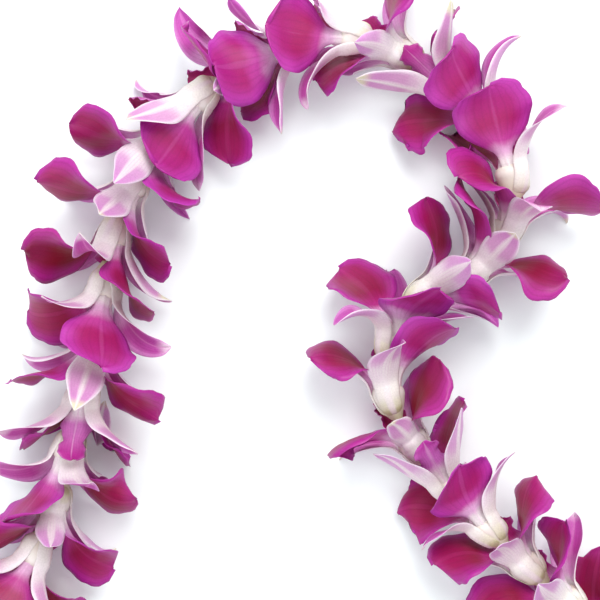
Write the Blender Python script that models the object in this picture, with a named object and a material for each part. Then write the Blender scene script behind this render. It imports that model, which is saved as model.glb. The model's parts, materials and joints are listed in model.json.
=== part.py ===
"""A fresh orchid lei: dendrobium blooms threaded face to back on one knotted cotton thread.

Metres, +Z up. The lei lies on the plane z = 0, and the origin is the middle of its outline there.
Run it with: blender --background --python part.py
"""

import math
from types import SimpleNamespace

import bmesh
import bpy
import numpy as np
from mathutils.bvhtree import BVHTree

MM = 0.001

# The thread's closed route, seen from above, in the direction that the blooms face.
ROUTE_MM = [
    (117, -131), (96, -112), (77, -94), (60, -75), (46, -58), (37, -40), (37, -19), (48, 0),
    (69, 10), (85, 27), (88, 50), (79, 71), (62, 87), (42, 102), (17, 109), (-6, 104),
    (-29, 93), (-48, 79), (-63, 61), (-73, 40), (-79, 21), (-82, 0), (-85, -21), (-92, -48),
    (-100, -79), (-111, -108), (-121, -129), (-130, -152), (-134, -178), (-122, -204),
    (-88, -226), (-38, -238), (18, -240), (70, -232), (112, -214), (134, -188), (132, -156),
]  # fmt: skip
ROUTE_MIDDLE_MM = (0, -66)  # the middle of the finished outline, which becomes the origin
OVERLAP = 4  # how many of the route's points are repeated at each end, to close the curve smoothly
THREAD_HEIGHT = 18.5 * MM
THREAD_SWAY = 1.2 * MM
SWAYS = 7
THREAD_RADIUS = 0.45 * MM
THREAD_BEND = 2 * MM  # where the thread has one more point, in front of each throat
THREAD_SIDES = 5
THREAD_STEP = 6 * MM  # the spacing of its points in the crossing test
KNOT_AT = 5.8 * MM  # how far in front of the last bloom's throat
KNOT_RADIUS = 1.5 * MM
KNOT_LENGTHENING = 1.2
KNOT_SIDES = 8
KNOT_RINGS = (45, 90, 135)
TAIL_LENGTH = 9 * MM
TAIL_SPREAD = 0.35
TAIL_DROOP = (0.22, 0.3)  # how far a tail bows outwards, and down for that
TAIL_POINTS = 5
BLOOM_COUNT = 46
SEED = 11

# One bloom, measured along the thread from its throat. It faces along +z there. Its bell is a tube
# of six sides: (distance, radius) of its rings, from the cut stalk forward over the outside, in at
# the rim that the sepals grow from, on to the rim of the petals and the lip, and back down the hole.
STALK = (-14.0 * MM, 2.1 * MM)
SHOULDER = (-8.5 * MM, 5.3 * MM)
SEPAL_RIM = ((-2.0 * MM, 7.4 * MM), (-1.6 * MM, 6.5 * MM))
PETAL_RIM = ((0.8 * MM, 5.8 * MM), (0.6 * MM, 4.9 * MM))
HOLE = ((-5.0 * MM, 1.0 * MM), (-14.0 * MM, 1.0 * MM))
RINGS = (STALK, SHOULDER, *SEPAL_RIM, *PETAL_RIM, *HOLE)
OUTSIDE = RINGS[:5]
SIDES = 6
CHIN_BULGE = 1.5 * MM

# The column's blunt tip: (distance along, height above the axis, half width) of its edges.
COLUMN_TIP = ((4.5 * MM, 3.6 * MM, 0.9 * MM), (4.2 * MM, 2.1 * MM, 0.7 * MM))
COLUMN_SIDE = 1  # the side of the throat that it grows from, under the top sepal

# How a tepal's surface is worked out.
SPINE_STEPS = 40  # the small steps along its centre-line
EASE_POWER = 0.9  # how early along it it opens
TWIST_POWER = 0.7
RUFFLE_WAVES = 1.6
RUFFLE_SLANT = 0.23
FLOOR_EASE = 6.0 * MM  # how far above the ground a drooping tepal starts to level out
GROUND_PRESS = 1.5 * MM  # how far its own stiffness would carry it under the ground
GROUND_HUG = 0.25 * MM  # the height of the middle of its thickness where it is pressed flat
CREEP = 0.15  # how much a tepal that lies on the ground still points along the thread
EDGE_SHARE = 0.7  # how much of its half width counts when its edge comes near the ground
FOLD_SHARE = 0.6  # how far a folded edge moves along the ground, for what would lie under it
SEPAL_STATIONS = (0, 0.3, 0.7, 1)
BROAD_STATIONS = (0, 0.2, 0.5, 0.8, 1)
PETAL_THICKNESS = 0.7 * MM

# The crossing test.
CLEARANCE_THICKNESS = 1.1 * MM  # what a tepal counts as beside other blooms
OWN_THICKNESS = 0.9 * MM  # and beside the other tepals of its own bloom
BELL_GAP = 0.6 * MM
NEAR = 90 * MM  # blooms further apart than this can't touch

SHARP_EDGE = 45  # degrees

# Outlines: (distance along the tepal, half width), both as fractions.
SEPAL_OUTLINE = ((0, 0.46), (0.2, 0.82), (0.45, 1.0), (0.7, 0.78), (0.88, 0.42), (1, 0.12))
PETAL_OUTLINE = ((0, 0.15), (0.18, 0.26), (0.38, 0.8), (0.58, 1.0), (0.82, 0.84), (1, 0.16))
LIP_OUTLINE = ((0, 0.22), (0.3, 1.0), (0.55, 0.62), (0.78, 0.78), (1, 0.16))

# How some blooms were laid out by hand: the bloom's roll, and for some tepals how far they lean
# round the bloom, the angle that the tip opens to, and the twist.
ARRANGED = {
    1: (-13, {"petal_left": (0, 92, 60), "petal_right": (0, 62, -20)}),
    2: (-10, {"sepal_top": (0, 40, 0), "petal_left": (12, 78, 50), "petal_right": (-16, 66, -30)}),
    3: (-60, {"sepal_right": (4, 74, 0), "petal_left": (-14, 84, 50), "petal_right": (0, 48, 0)}),
    4: (180, {"lip": (0, 40, 0), "sepal_right": (6, 28, 0), "sepal_left": (0, 44, 0)}),
    5: (0, {"sepal_top": (0, 30, 0), "petal_left": (14, 88, -20), "petal_right": (-4, 88, -40)}),
    6: (-5, {"petal_left": (0, 98, 45), "petal_right": (0, 84, 20)}),
    7: (-48, {"petal_right": (0, 50, 0), "petal_left": (10, 92, 30), "sepal_right": (4, 88, -40)}),
    8: (-15, {"sepal_top": (8, 36, 0), "petal_left": (16, 96, 30)}),
    9: (5, {"sepal_top": (16, 50, 10), "petal_right": (0, 86, -62), "petal_left": (12, 84, 20)}),
    10: (15, {"petal_right": (0, 104, 30), "petal_left": (6, 96, 40), "sepal_top": (0, 120, 0)}),
    11: (-72, {"petal_right": (0, 44, 0), "sepal_right": (0, 88, -40), "sepal_top": (8, 96, 40)}),
    12: (-50, {"petal_right": (0, 40, 0), "sepal_right": (8, 92, -20), "petal_left": (0, 84, 40)}),
    13: (170, {"lip": (0, 44, 0), "sepal_right": (0, 50, 0), "sepal_left": (0, 70, 0)}),
    14: (-20, {"petal_left": (12, 64, 40), "sepal_top": (0, 30, 0), "petal_right": (-8, 96, -40)}),
    15: (-74, {"petal_right": (0, 42, 0), "sepal_top": (10, 96, 40), "sepal_right": (0, 84, -40)}),
    16: (-74, {"petal_right": (0, 42, 0), "sepal_top": (8, 92, 40), "sepal_right": (0, 80, -40)}),
    17: (-20, {"petal_right": (-6, 100, -50), "petal_left": (0, 92, 40), "sepal_top": (0, 56, 0)}),
    18: (-100, {"petal_right": (0, 44, 0), "sepal_right": (6, 60, -20), "sepal_top": (0, 92, 40)}),
    19: (-5, {"petal_left": (0, 140, 70), "petal_right": (-8, 84, -60), "sepal_top": (0, 44, 0)}),
    20: (0, {"petal_right": (-10, 88, -40), "petal_left": (12, 100, 30), "sepal_top": (0, 40, 0)}),
    21: (12, {"petal_right": (6, 102, -60), "sepal_left": (-14, 84, 10), "petal_left": (0, 70, 30)}),
    22: (40, {"petal_right": (0, 100, -50), "petal_left": (0, 50, 0), "sepal_top": (0, 90, -40)}),
    23: (-8, {"sepal_left": (-14, 80, 30), "petal_right": (-12, 70, -20), "sepal_top": (0, 42, 0)}),
    24: (180, {"lip": (0, 50, 0), "sepal_left": (0, 96, -40), "sepal_right": (0, 84, 40)}),
    25: (-25, {"petal_left": (0, 100, 62), "petal_right": (0, 60, -20)}),
    26: (-10, {"petal_left": (14, 80, 46), "petal_right": (-12, 92, -40), "sepal_top": (0, 34, 0)}),
    27: (-60, {"petal_right": (0, 48, 0), "petal_left": (0, 84, 50), "sepal_top": (0, 84, 30)}),
}


def tepal(kind, side, azimuth, length, width, opens, cup, outline, ruffle):
    """One of the bloom's six tepals: the bell's side that it grows from, the azimuth it eases to
    round the bloom (0 is the bloom's right, 90 its top), its length and width, the angles from the
    bloom's axis that it opens at, the turn of its cross-section's arc (root and tip of each), its
    outline, and the height of its ruffles."""
    return SimpleNamespace(
        kind=kind, side=side, azimuth=azimuth, length=length * MM, width=width * MM, opens=opens,
        cup=cup, outline=outline, ruffle=ruffle * MM,
    )  # fmt: skip


TEPALS = (
    tepal("petal_right", 0, 10, 35, 33, (24, 88), (0.9, -0.3), PETAL_OUTLINE, 1.6),
    tepal("petal_left", 2, 170, 35, 33, (24, 88), (0.9, -0.3), PETAL_OUTLINE, 1.6),
    tepal("sepal_top", 1, 90, 34, 16, (28, 92), (0.8, 0.3), SEPAL_OUTLINE, 0.6),
    tepal("sepal_left", 3, 220, 34, 18, (28, 92), (1.0, 0.4), SEPAL_OUTLINE, 0.6),
    tepal("sepal_right", 5, -40, 34, 18, (28, 92), (1.0, 0.4), SEPAL_OUTLINE, 0.6),
    tepal("lip", 4, 270, 24, 16, (14, 68), (1.3, 0.8), LIP_OUTLINE, 0.9),
)


def smooth_through(knots, x):
    """A smooth curve through (x, y...) knots, read at x: cubic Hermite pieces whose slopes are
    the knots' own finite differences."""
    knots = np.asarray(knots, float)
    at, values = knots[:, 0], knots[:, 1:]
    slopes = np.gradient(values, at, axis=0)
    x = np.atleast_1d(np.asarray(x, float))
    i = np.clip(np.searchsorted(at, x, side="right") - 1, 0, len(at) - 2)
    step = (at[i + 1] - at[i])[:, None]
    t = ((x - at[i]) / (at[i + 1] - at[i]))[:, None]
    rise = values[i + 1] - values[i]
    ease = t * t * (3 - 2 * t)
    lead = t * (1 - t) ** 2 * slopes[i] * step
    trail = t * t * (t - 1) * slopes[i + 1] * step
    return values[i] + rise * ease + lead + trail


def unit(v):
    """Vectors divided by their own lengths."""
    v = np.asarray(v, float)
    return v / np.linalg.norm(v, axis=-1, keepdims=True)


def route_knots():
    """The route's points with their distance along it, and the length of the loop."""
    points = (np.array(ROUTE_MM, float) - np.array(ROUTE_MIDDLE_MM)) * MM
    ring = np.concatenate([points[-OVERLAP:], points, points[: OVERLAP + 1]])
    along = np.concatenate([[0], np.cumsum(np.linalg.norm(np.diff(ring, axis=0), axis=1))])
    along -= along[OVERLAP]
    return np.column_stack([along, ring]), along[OVERLAP + len(points)]


KNOTS, LOOP_LENGTH = route_knots()


def thread_point(s):
    """Where the thread is at a distance s along its loop."""
    s = np.mod(np.atleast_1d(s), LOOP_LENGTH)
    flat = smooth_through(KNOTS, s)
    height = THREAD_HEIGHT + THREAD_SWAY * np.sin(2 * np.pi * SWAYS * s / LOOP_LENGTH)
    return np.column_stack([flat, height])


def thread_axes(s):
    """(forward, side, up) unit vectors of the thread at each distance s."""
    reach = 2 * MM
    forward = unit(thread_point(np.atleast_1d(s) + reach) - thread_point(np.atleast_1d(s) - reach))
    side = unit(np.cross(np.array([0, 0, 1.0]), forward))
    return forward, side, np.cross(forward, side)


def turned(vectors, axis, angle):
    """Vectors turned about a unit axis by an angle in radians (Rodrigues' formula)."""
    vectors = np.asarray(vectors, float)
    along = (vectors @ axis)[..., None] * axis
    return along + (vectors - along) * math.cos(angle) + np.cross(axis, vectors) * math.sin(angle)


def bloom_frame(index, habit):
    """Origin and (right, up, forward) axes of a bloom: its place on the thread, rolled about it,
    and tipped a little off it."""
    s = (index + 0.5) * LOOP_LENGTH / BLOOM_COUNT
    forward, side, up = (v[0] for v in thread_axes(s))
    forward = turned(forward, up, math.radians(habit.yaw))
    side = turned(side, up, math.radians(habit.yaw))
    forward = turned(forward, side, math.radians(-habit.pitch))
    up = np.cross(forward, side)
    right = turned(-side, forward, math.radians(habit.roll))
    up = turned(up, forward, math.radians(habit.roll))
    return SimpleNamespace(s=s, origin=thread_point(s)[0], right=right, up=up, forward=forward)


def is_sepal(tepal):
    """Sepals grow from the bell's odd sides."""
    return tepal.side % 2 == 1


def habits():
    """How each bloom sits: rolled about the thread, tipped off it, and how each tepal grew. Sepals
    on top close over the next bloom, petals there close or fold back, and most of those at the
    sides turn their inside up."""
    rng = np.random.default_rng(SEED)
    grown = []
    for index in range(BLOOM_COUNT):
        roll, yaw, pitch = rng.uniform(-180, 180), rng.uniform(-12, 12), rng.uniform(-9, 10)
        roll, arranged = ARRANGED.get(index + 1, (roll, {}))
        changes = []
        for tepal in TEPALS:
            draws = rng.uniform(-1, 1, 9)
            chance, flare, azimuth, sweep, twist, cup, phase, scale, curl = draws
            height = math.sin(math.radians(tepal.azimuth - roll))
            across_up = math.cos(math.radians(tepal.azimuth - roll))
            change = SimpleNamespace(
                open=16 * flare, azimuth=9 * azimuth, sweep=18 * sweep, twist=24 * twist,
                cup=0.9 * cup, phase=phase, scale=0.99 + 0.08 * scale, curl=60 * curl,
                arranged=tepal.kind in arranged,
            )  # fmt: skip
            if height > 0.6:
                change.open += -46 if chance < (0.6 if is_sepal(tepal) else 0.0) else 46
            elif height > -0.5:
                face_up = chance > (0.1 if is_sepal(tepal) else -0.6)
                change.twist += math.copysign(58 if face_up else -45, -across_up)
                change.open += 8
            if change.arranged:
                change.azimuth, tip, change.twist = arranged[tepal.kind]
                change.open = tip - tepal.opens[1]
            changes.append(change)
        grown.append(SimpleNamespace(roll=roll, yaw=yaw, pitch=pitch, changes=changes))
    return grown


def half_width(tepal, change, u):
    """Half the tepal's width at each u."""
    return smooth_through(tepal.outline, u)[:, 0] * tepal.width / 2 * math.sqrt(change.scale)


def tepal_angles(tepal, change, u):
    """The angle from the bloom's axis and the azimuth round it, in radians, at each u."""
    ease = u**EASE_POWER
    opened = tepal.opens[0] + (tepal.opens[1] + change.open - tepal.opens[0]) * ease
    opened = opened + change.curl * (u**3 - 0.5 * u)
    root = 60 * tepal.side + 30
    turn_to = (tepal.azimuth + change.azimuth - root + 180) % 360 - 180
    azimuth = root + turn_to * ease + change.sweep * u**2
    return np.radians(opened), np.radians(azimuth)


def tepal_spine(frame, tepal, change):
    """The centre-line as points and headings, and the direction across it, at every small step."""
    u = np.linspace(0, 1, SPINE_STEPS + 1)
    opened, azimuth = tepal_angles(tepal, change, u)
    radial = np.cos(azimuth)[:, None] * frame.right + np.sin(azimuth)[:, None] * frame.up
    heading = np.cos(opened)[:, None] * frame.forward + np.sin(opened)[:, None] * radial
    across = np.cross(radial, frame.forward)
    half = half_width(tepal, change, u)
    step = tepal.length * change.scale / SPINE_STEPS

    rim = np.mean(SEPAL_RIM if is_sepal(tepal) else PETAL_RIM, axis=0)
    spine = np.empty_like(heading)
    spine[0] = frame.origin + rim[0] * frame.forward
    spine[0] += rim[1] * math.cos(math.pi / SIDES) * radial[0]
    for k in range(SPINE_STEPS):
        room = EDGE_SHARE * half[k] * abs(across[k, 2]) - GROUND_PRESS
        lowest = -max(spine[k, 2] - room, 0) / FLOOR_EASE
        if heading[k, 2] < lowest:
            flat = heading[k, :2] + CREEP * frame.forward[:2]
            flat *= math.sqrt(max(1 - lowest**2, 0)) / np.linalg.norm(flat)
            heading[k] = (*flat, lowest)
        spine[k + 1] = spine[k] + heading[k] * step
    heading[-1] = heading[-2]
    return spine, heading, across


def tepal_sheet(frame, tepal, change, stations, columns):
    """The middle surface of one tepal as a grid of points, a row for each station along it: each
    row is an arc whose turn goes from cup[0] to cup[1], with ruffles that grow to the edges."""
    spine, heading, across = tepal_spine(frame, tepal, change)
    picked = np.round(np.asarray(stations) * SPINE_STEPS).astype(int)
    u = picked / SPINE_STEPS
    half = half_width(tepal, change, u)
    spine, across, heading = spine[picked], across[picked], heading[picked]
    across = unit(across - (across * heading).sum(axis=1, keepdims=True) * heading)
    twist = np.radians(change.twist * u**TWIST_POWER)[:, None]
    inward = np.cross(across, heading)
    across, inward = (
        np.cos(twist) * across + np.sin(twist) * inward,
        np.cos(twist) * inward - np.sin(twist) * across,
    )

    v = np.linspace(-1, 1, columns + 1)
    turn = (tepal.cup[0] + (tepal.cup[1] + change.cup - tepal.cup[0]) * u)[:, None]
    turn = np.where(np.abs(turn) < 1e-3, 1e-3, turn)
    sideways = half[:, None] * np.sin(turn * v) / turn
    lift = half[:, None] * (1 - np.cos(turn * v)) / turn
    wave = np.sin(2 * np.pi * (RUFFLE_WAVES * u[:, None] + RUFFLE_SLANT * v + change.phase))
    lift = lift + tepal.ruffle * wave * v**2 * u[:, None]
    sheet = spine[:, None] + sideways[..., None] * across[:, None] + lift[..., None] * inward[:, None]
    deep = np.maximum(GROUND_HUG - sheet[..., 2], 0)
    sheet[..., :2] += FOLD_SHARE * deep[..., None] * inward[:, None, :2]
    sheet[..., 2] += deep
    return sheet


def stations_of(tepal):
    """Where the rows of a tepal's coarse sheet lie along it."""
    return SEPAL_STATIONS if is_sepal(tepal) else BROAD_STATIONS


def grid_faces(rows, columns):
    """Quads between the points of a grid, and the loop of its border points, both going the same
    way round."""
    i = np.arange(rows * columns).reshape(rows, columns)
    quads = np.stack([i[:-1, :-1], i[:-1, 1:], i[1:, 1:], i[1:, :-1]], axis=-1).reshape(-1, 4)
    border = np.concatenate([i[0, :-1], i[:-1, -1], i[-1, :0:-1], i[:0:-1, 0]])
    return quads, border


def skins(sheet, thickness):
    """A sheet's front and back, half a thickness away along its normals, and not under the ground."""
    normal = unit(np.cross(np.gradient(sheet, axis=1), np.gradient(sheet, axis=0)))
    front = sheet + normal * thickness / 2
    back = sheet - normal * thickness / 2
    front[..., 2] = np.maximum(front[..., 2], 0)
    back[..., 2] = np.maximum(back[..., 2], 0)
    return front, back


def blade_shell(sheet, thickness):
    """A sheet as a closed blade: the front quads, the back quads turned round, and a band of quads
    along the border."""
    front, back = skins(sheet, thickness)
    points = np.concatenate([front.reshape(-1, 3), back.reshape(-1, 3)])
    quads, border = grid_faces(*sheet.shape[:2])
    beyond = front.shape[0] * front.shape[1]
    after = np.roll(border, -1)
    band = np.stack([after, border, border + beyond, after + beyond], axis=-1)
    return points, quads, quads[:, ::-1] + beyond, band


def ring_faces(rings, sides):
    """Quads between rings of points, wound so that they face outwards."""
    i = np.arange(rings * sides).reshape(rings, sides)
    following = np.roll(i, -1, axis=1)
    return np.stack([i[:-1], following[:-1], following[1:], i[1:]], axis=-1).reshape(-1, 4)


def tube_shell(path, radius, sides):
    """An open-ended tube round a list of points: a ring of points for each, and quads between."""
    forward = unit(np.gradient(path, axis=0))
    side = unit(np.cross(np.array([0, 0, 1.0]), forward))
    angle = 2 * np.pi * np.arange(sides) / sides
    ring = np.cos(angle)[:, None] * side[:, None] + np.sin(angle)[:, None] * np.cross(forward, side)[:, None]
    points = (path[:, None] + radius * ring).reshape(-1, 3)
    return points, ring_faces(len(path), sides)


def bell_ring(frame, ring, angle, grow=0.0):
    """Points of one ring of the bell: its rims sit square to the bloom, and the stalk, the chin's
    bulge under the lip and the hole follow the thread."""
    z, radius = ring
    if ring in SEPAL_RIM or ring in PETAL_RIM:
        centre, right, up = frame.origin + z * frame.forward, frame.right, frame.up
    else:
        forward, _, _ = (v[0] for v in thread_axes(frame.s + z))
        right = unit(frame.right - (frame.right @ forward) * forward)
        centre, up = thread_point(frame.s + z)[0], np.cross(right, forward)
    chin = CHIN_BULGE * np.maximum(-np.sin(angle), 0) ** 2 if ring == SHOULDER else 0
    reach = (radius + grow + chin) * np.ones(len(angle))
    return centre + (reach * np.cos(angle))[:, None] * right + (reach * np.sin(angle))[:, None] * up


def bell_hull(frame, grow):
    """The bell's outside, a little larger."""
    angle = 2 * np.pi * np.arange(SIDES) / SIDES
    points = np.concatenate([bell_ring(frame, ring, angle, grow) for ring in OUTSIDE])
    return points, ring_faces(len(OUTSIDE), SIDES)


def tree_of(points, *faces):
    """A search tree of a shell's faces, for crossing tests."""
    return BVHTree.FromPolygons(points.tolist(), np.concatenate(faces).tolist())


def knot_frame():
    """The knot's middle and the thread's axes there."""
    s = (BLOOM_COUNT - 0.5) * LOOP_LENGTH / BLOOM_COUNT + KNOT_AT
    return thread_point(s)[0], *(v[0] for v in thread_axes(s))


def tail_path(lean, points):
    """One tail: it leaves the knot upwards and leans out and over, as a parabola."""
    centre, forward, side, up = knot_frame()
    t = np.linspace(0, 1, points)[:, None]
    heading = unit(up + TAIL_SPREAD * lean * side + 0.25 * forward)
    bow, droop = TAIL_DROOP
    return centre + TAIL_LENGTH * (t * heading + bow * t**2 * (lean * side - droop * up))


def bends():
    """The ways that a tepal may bend to clear its neighbours, the slightest first: how much further
    it opens, how far it leans round the bloom, its size, and how much of its twist it keeps."""
    found = []
    for size in (1.0, 0.9, 0.8, 0.68, 0.55, 0.42, 0.3):
        for lean in (0, -10, 10, -20, 20, -32, 32):
            for opened in (0, -8, 8, -16, 16, -28, 28, -44, 44):
                for keep in (1, 0) if size in (0.9, 0.55, 0.3) else (1,):
                    cost = abs(opened) / 8 + abs(lean) / 7 + (1 - size) * 30
                    found.append((cost, opened, lean, size, keep))
    return sorted(found)


def bent(change, way):
    """A tepal's change with one of those bends added."""
    _, opened, lean, size, keep = way
    more = SimpleNamespace(**vars(change))
    more.open += opened
    more.azimuth += lean
    more.scale *= size
    more.twist *= keep
    more.curl *= keep
    return more


def placed(frames, grown):
    """The coarse sheets of every bloom by tepal kind, each bent just enough to clear the thread, the
    bells and the tepals that were placed before it. Those laid out by hand come first. The bends
    are written back to the blooms' changes."""
    loop = thread_point(np.arange(0, LOOP_LENGTH + THREAD_STEP, THREAD_STEP))
    standing = [tree_of(*tube_shell(loop, THREAD_RADIUS + BELL_GAP, THREAD_SIDES))]
    for lean in (-1, 1):
        standing.append(tree_of(*tube_shell(tail_path(lean, TAIL_POINTS), THREAD_RADIUS, THREAD_SIDES)))
    bells = [tree_of(*bell_hull(frame, BELL_GAP)) for frame in frames]
    order = sorted(
        (not change.arranged, index, number)
        for index, habit in enumerate(grown)
        for number, change in enumerate(habit.changes)
    )
    ways = bends()
    own = [[] for _ in frames]
    others = [[] for _ in frames]
    sheets = [{} for _ in frames]
    for _, index, number in order:
        frame, tepal = frames[index], TEPALS[number]
        obstacles = list(standing)
        for other in range(BLOOM_COUNT):
            if other != index and np.linalg.norm(frames[other].origin - frame.origin) < NEAR:
                obstacles += [bells[other], *others[other]]
        for way in ways:
            change = bent(grown[index].changes[number], way)
            sheet = tepal_sheet(frame, tepal, change, stations_of(tepal), 2)
            thin = tree_of(*blade_shell(sheet, OWN_THICKNESS))
            if any(thin.overlap(tree) for tree in own[index]):
                continue
            thick = tree_of(*blade_shell(sheet, CLEARANCE_THICKNESS))
            if any(thick.overlap(tree) for tree in obstacles):
                continue
            sheets[index][tepal.kind] = sheet
            grown[index].changes[number] = change
            own[index].append(thin)
            others[index].append(thick)
            break
    return sheets


def strip(near, far):
    """Triangles between two rows of point numbers, of two or three and then three or one."""
    if len(far) == 1:
        return [(a, far[0], b) for a, b in zip(near, near[1:])]
    if len(near) == 2:
        return [(near[0], far[0], far[1]), (near[0], far[1], near[1]), (near[1], far[1], far[2])]
    a, b, c = near
    p, q, r = far
    return [(a, p, q), (a, q, b), (b, q, c), (q, r, c)]


def grow_blade(points, faces, back, front, sheet):
    """Adds a thin closed blade to a mesh, on from its back and front root rows. It follows the
    sheet, is split into triangles alike on both faces, and ends in one point across."""
    front_skin, back_skin = skins(sheet, PETAL_THICKNESS)
    rows = len(sheet) - 1
    for row in range(1, rows + 1):
        picked = slice(None) if row < rows else slice(1, 2)
        start = len(points)
        points += list(back_skin[row, picked])
        new_back = list(range(start, len(points)))
        points += list(front_skin[row, picked])
        new_front = list(range(new_back[-1] + 1, len(points)))
        faces += [triangle[::-1] for triangle in strip(back, new_back)]
        faces += strip(front, new_front)
        faces.append((back[0], new_back[0], new_front[0], front[0]))
        faces.append((front[-1], new_front[-1], new_back[-1], back[-1]))
        back, front = new_back, new_front


def grow_column(points, faces, frame, outer, inner):
    """Adds the column, a four-sided peg from one side of the throat to its blunt tip."""
    start = len(points)
    for along, height, across in COLUMN_TIP:
        middle = frame.origin + along * frame.forward + height * frame.up
        points += [middle + across * frame.right, middle - across * frame.right]
    root = [outer[0], outer[1], inner[1], inner[0]]
    tip = [start, start + 1, start + 3, start + 2]
    faces += [(root[k], tip[k], tip[(k + 1) % 4], root[(k + 1) % 4]) for k in range(4)]
    faces.append(tuple(tip))


def bloom_solid(frame, sheets):
    """A whole bloom as one closed mesh: the bell, with a tepal growing out of each side of its rims
    and the column out of the throat."""
    angle = 2 * np.pi * np.arange(SIDES) / SIDES
    points = [point for ring in RINGS for point in bell_ring(frame, ring, angle)]
    faces = []
    grown = {t.side: sheets[t.kind] for t in TEPALS if t.kind in sheets}
    for k, ring in enumerate(RINGS):
        following = (k + 1) % len(RINGS)
        for side in range(SIDES):
            back = [k * SIDES + side, k * SIDES + (side + 1) % SIDES]
            front = [following * SIDES + side, following * SIDES + (side + 1) % SIDES]
            rim = {SEPAL_RIM[0]: 1, PETAL_RIM[0]: 0}.get(ring)
            if rim == side % 2 and side in grown:
                grow_blade(points, faces, back, front, grown[side])
            elif ring == PETAL_RIM[1] and side == COLUMN_SIDE:
                grow_column(points, faces, frame, back, front)
            else:
                faces.append((back[0], front[0], front[1], back[1]))
    return np.array(points), faces


def thread_loop():
    """The thread as a closed tube through where it enters and leaves the straight hole of each
    bloom, with one more point in front of each throat."""
    throats = (np.arange(BLOOM_COUNT) + 0.5) * LOOP_LENGTH / BLOOM_COUNT
    ends = [throats + HOLE[1][0], throats + HOLE[0][0], throats + THREAD_BEND]
    path = thread_point(np.sort(np.concatenate(ends)))
    around = np.concatenate([path[-1:], path, path[:2]])
    points, faces = tube_shell(around, THREAD_RADIUS, THREAD_SIDES)
    points = points.reshape(-1, THREAD_SIDES, 3)[1:-2].reshape(-1, 3)
    rings = len(path)
    faces = ring_faces(rings + 1, THREAD_SIDES) % (rings * THREAD_SIDES)
    return points, faces.tolist()


def tail(lean):
    """One capped end of the thread beyond its knot."""
    points, faces = tube_shell(tail_path(lean, TAIL_POINTS), THREAD_RADIUS, THREAD_SIDES)
    caps = [tuple(range(THREAD_SIDES)), tuple(range(len(points) - THREAD_SIDES, len(points)))]
    return points, faces.tolist() + caps


def knot():
    """The knot: an eight-sided ball, a little longer along the thread."""
    centre, forward, side, up = knot_frame()
    angle = 2 * np.pi * np.arange(KNOT_SIDES) / KNOT_SIDES
    around = np.cos(angle)[:, None] * side + np.sin(angle)[:, None] * up
    pole = KNOT_LENGTHENING * KNOT_RADIUS * forward
    points = [centre - pole]
    for polar in np.radians(KNOT_RINGS):
        points += list(centre - math.cos(polar) * pole + KNOT_RADIUS * math.sin(polar) * around)
    points.append(centre + pole)
    faces = (ring_faces(len(KNOT_RINGS), KNOT_SIDES) + 1).tolist()
    last = len(points) - 1 - KNOT_SIDES
    for j in range(KNOT_SIDES):
        k = (j + 1) % KNOT_SIDES
        faces += [(0, 1 + k, 1 + j), (last + j, last + k, len(points) - 1)]
    return np.array(points), faces


def principled(name, colour, roughness):
    made = bpy.data.materials.new(name)
    made.use_nodes = True
    shader = made.node_tree.nodes["Principled BSDF"]
    shader.inputs["Base Color"].default_value = (*colour, 1)
    shader.inputs["Roughness"].default_value = roughness
    shader.inputs["Metallic"].default_value = 0
    made.diffuse_color = (*colour, 1)
    return made


def mesh_object(name, solid, material):
    """An object from points and faces, its faces turned outwards."""
    points, faces = solid
    mesh = bpy.data.meshes.new(name)
    mesh.from_pydata([tuple(p) for p in points], [], faces)
    shell = bmesh.new()
    shell.from_mesh(mesh)
    bmesh.ops.recalc_face_normals(shell, faces=shell.faces)
    shell.to_mesh(mesh)
    shell.free()
    mesh.materials.append(material)
    mesh.shade_smooth()
    mesh.set_sharp_from_angle(angle=math.radians(SHARP_EDGE))
    made = bpy.data.objects.new(name, mesh)
    bpy.context.scene.collection.objects.link(made)
    return made


def fused(name, solids, material):
    """One object from overlapping solids, by a Boolean union of the first with the rest."""
    body = mesh_object(name, solids[0], material)
    others = bpy.data.collections.new(name + "_pieces")
    bpy.context.scene.collection.children.link(others)
    for number, solid in enumerate(solids[1:]):
        piece = mesh_object(f"{name}_piece_{number}", solid, material)
        bpy.context.scene.collection.objects.unlink(piece)
        others.objects.link(piece)
    union = body.modifiers.new("union", "BOOLEAN")
    union.operation = "UNION"
    union.operand_type = "COLLECTION"
    union.collection = others
    depsgraph = bpy.context.evaluated_depsgraph_get()
    joined = bpy.data.meshes.new_from_object(body.evaluated_get(depsgraph))
    body.modifiers.clear()
    body.data = joined
    for piece in list(others.objects):
        bpy.data.objects.remove(piece)
    bpy.data.collections.remove(others)
    return body


def main():
    for obj in list(bpy.data.objects):
        bpy.data.objects.remove(obj)
    orchid = principled("orchid petals", (0.42, 0.02, 0.20), 0.5)
    cotton = principled("cotton thread", (0.80, 0.76, 0.66), 0.9)

    grown = habits()
    frames = [bloom_frame(index, habit) for index, habit in enumerate(grown)]
    sheets = placed(frames, grown)
    for index, frame in enumerate(frames):
        mesh_object(f"orchid_{index + 1:02d}", bloom_solid(frame, sheets[index]), orchid)
        missing = [tepal.kind for tepal in TEPALS if tepal.kind not in sheets[index]]
        if missing:
            print(f"orchid_{index + 1:02d} has no room for", ", ".join(missing))
    fused("thread", [thread_loop(), knot(), tail(-1), tail(1)], cotton)


main()
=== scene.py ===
# %% [markdown]
# A fresh orchid lei is a garland of about four dozen dendrobium blooms. A needle passes a cotton
# thread through each bloom from its throat to its cut stalk, so the blooms sit face to back and all
# look the same way round the loop. The two ends of the thread are tied in a small knot. This script
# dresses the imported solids: each bloom is worked out again from the same numbers as its solid, but
# on a fine grid, and then gets thin edges, veins and colour.

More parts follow.
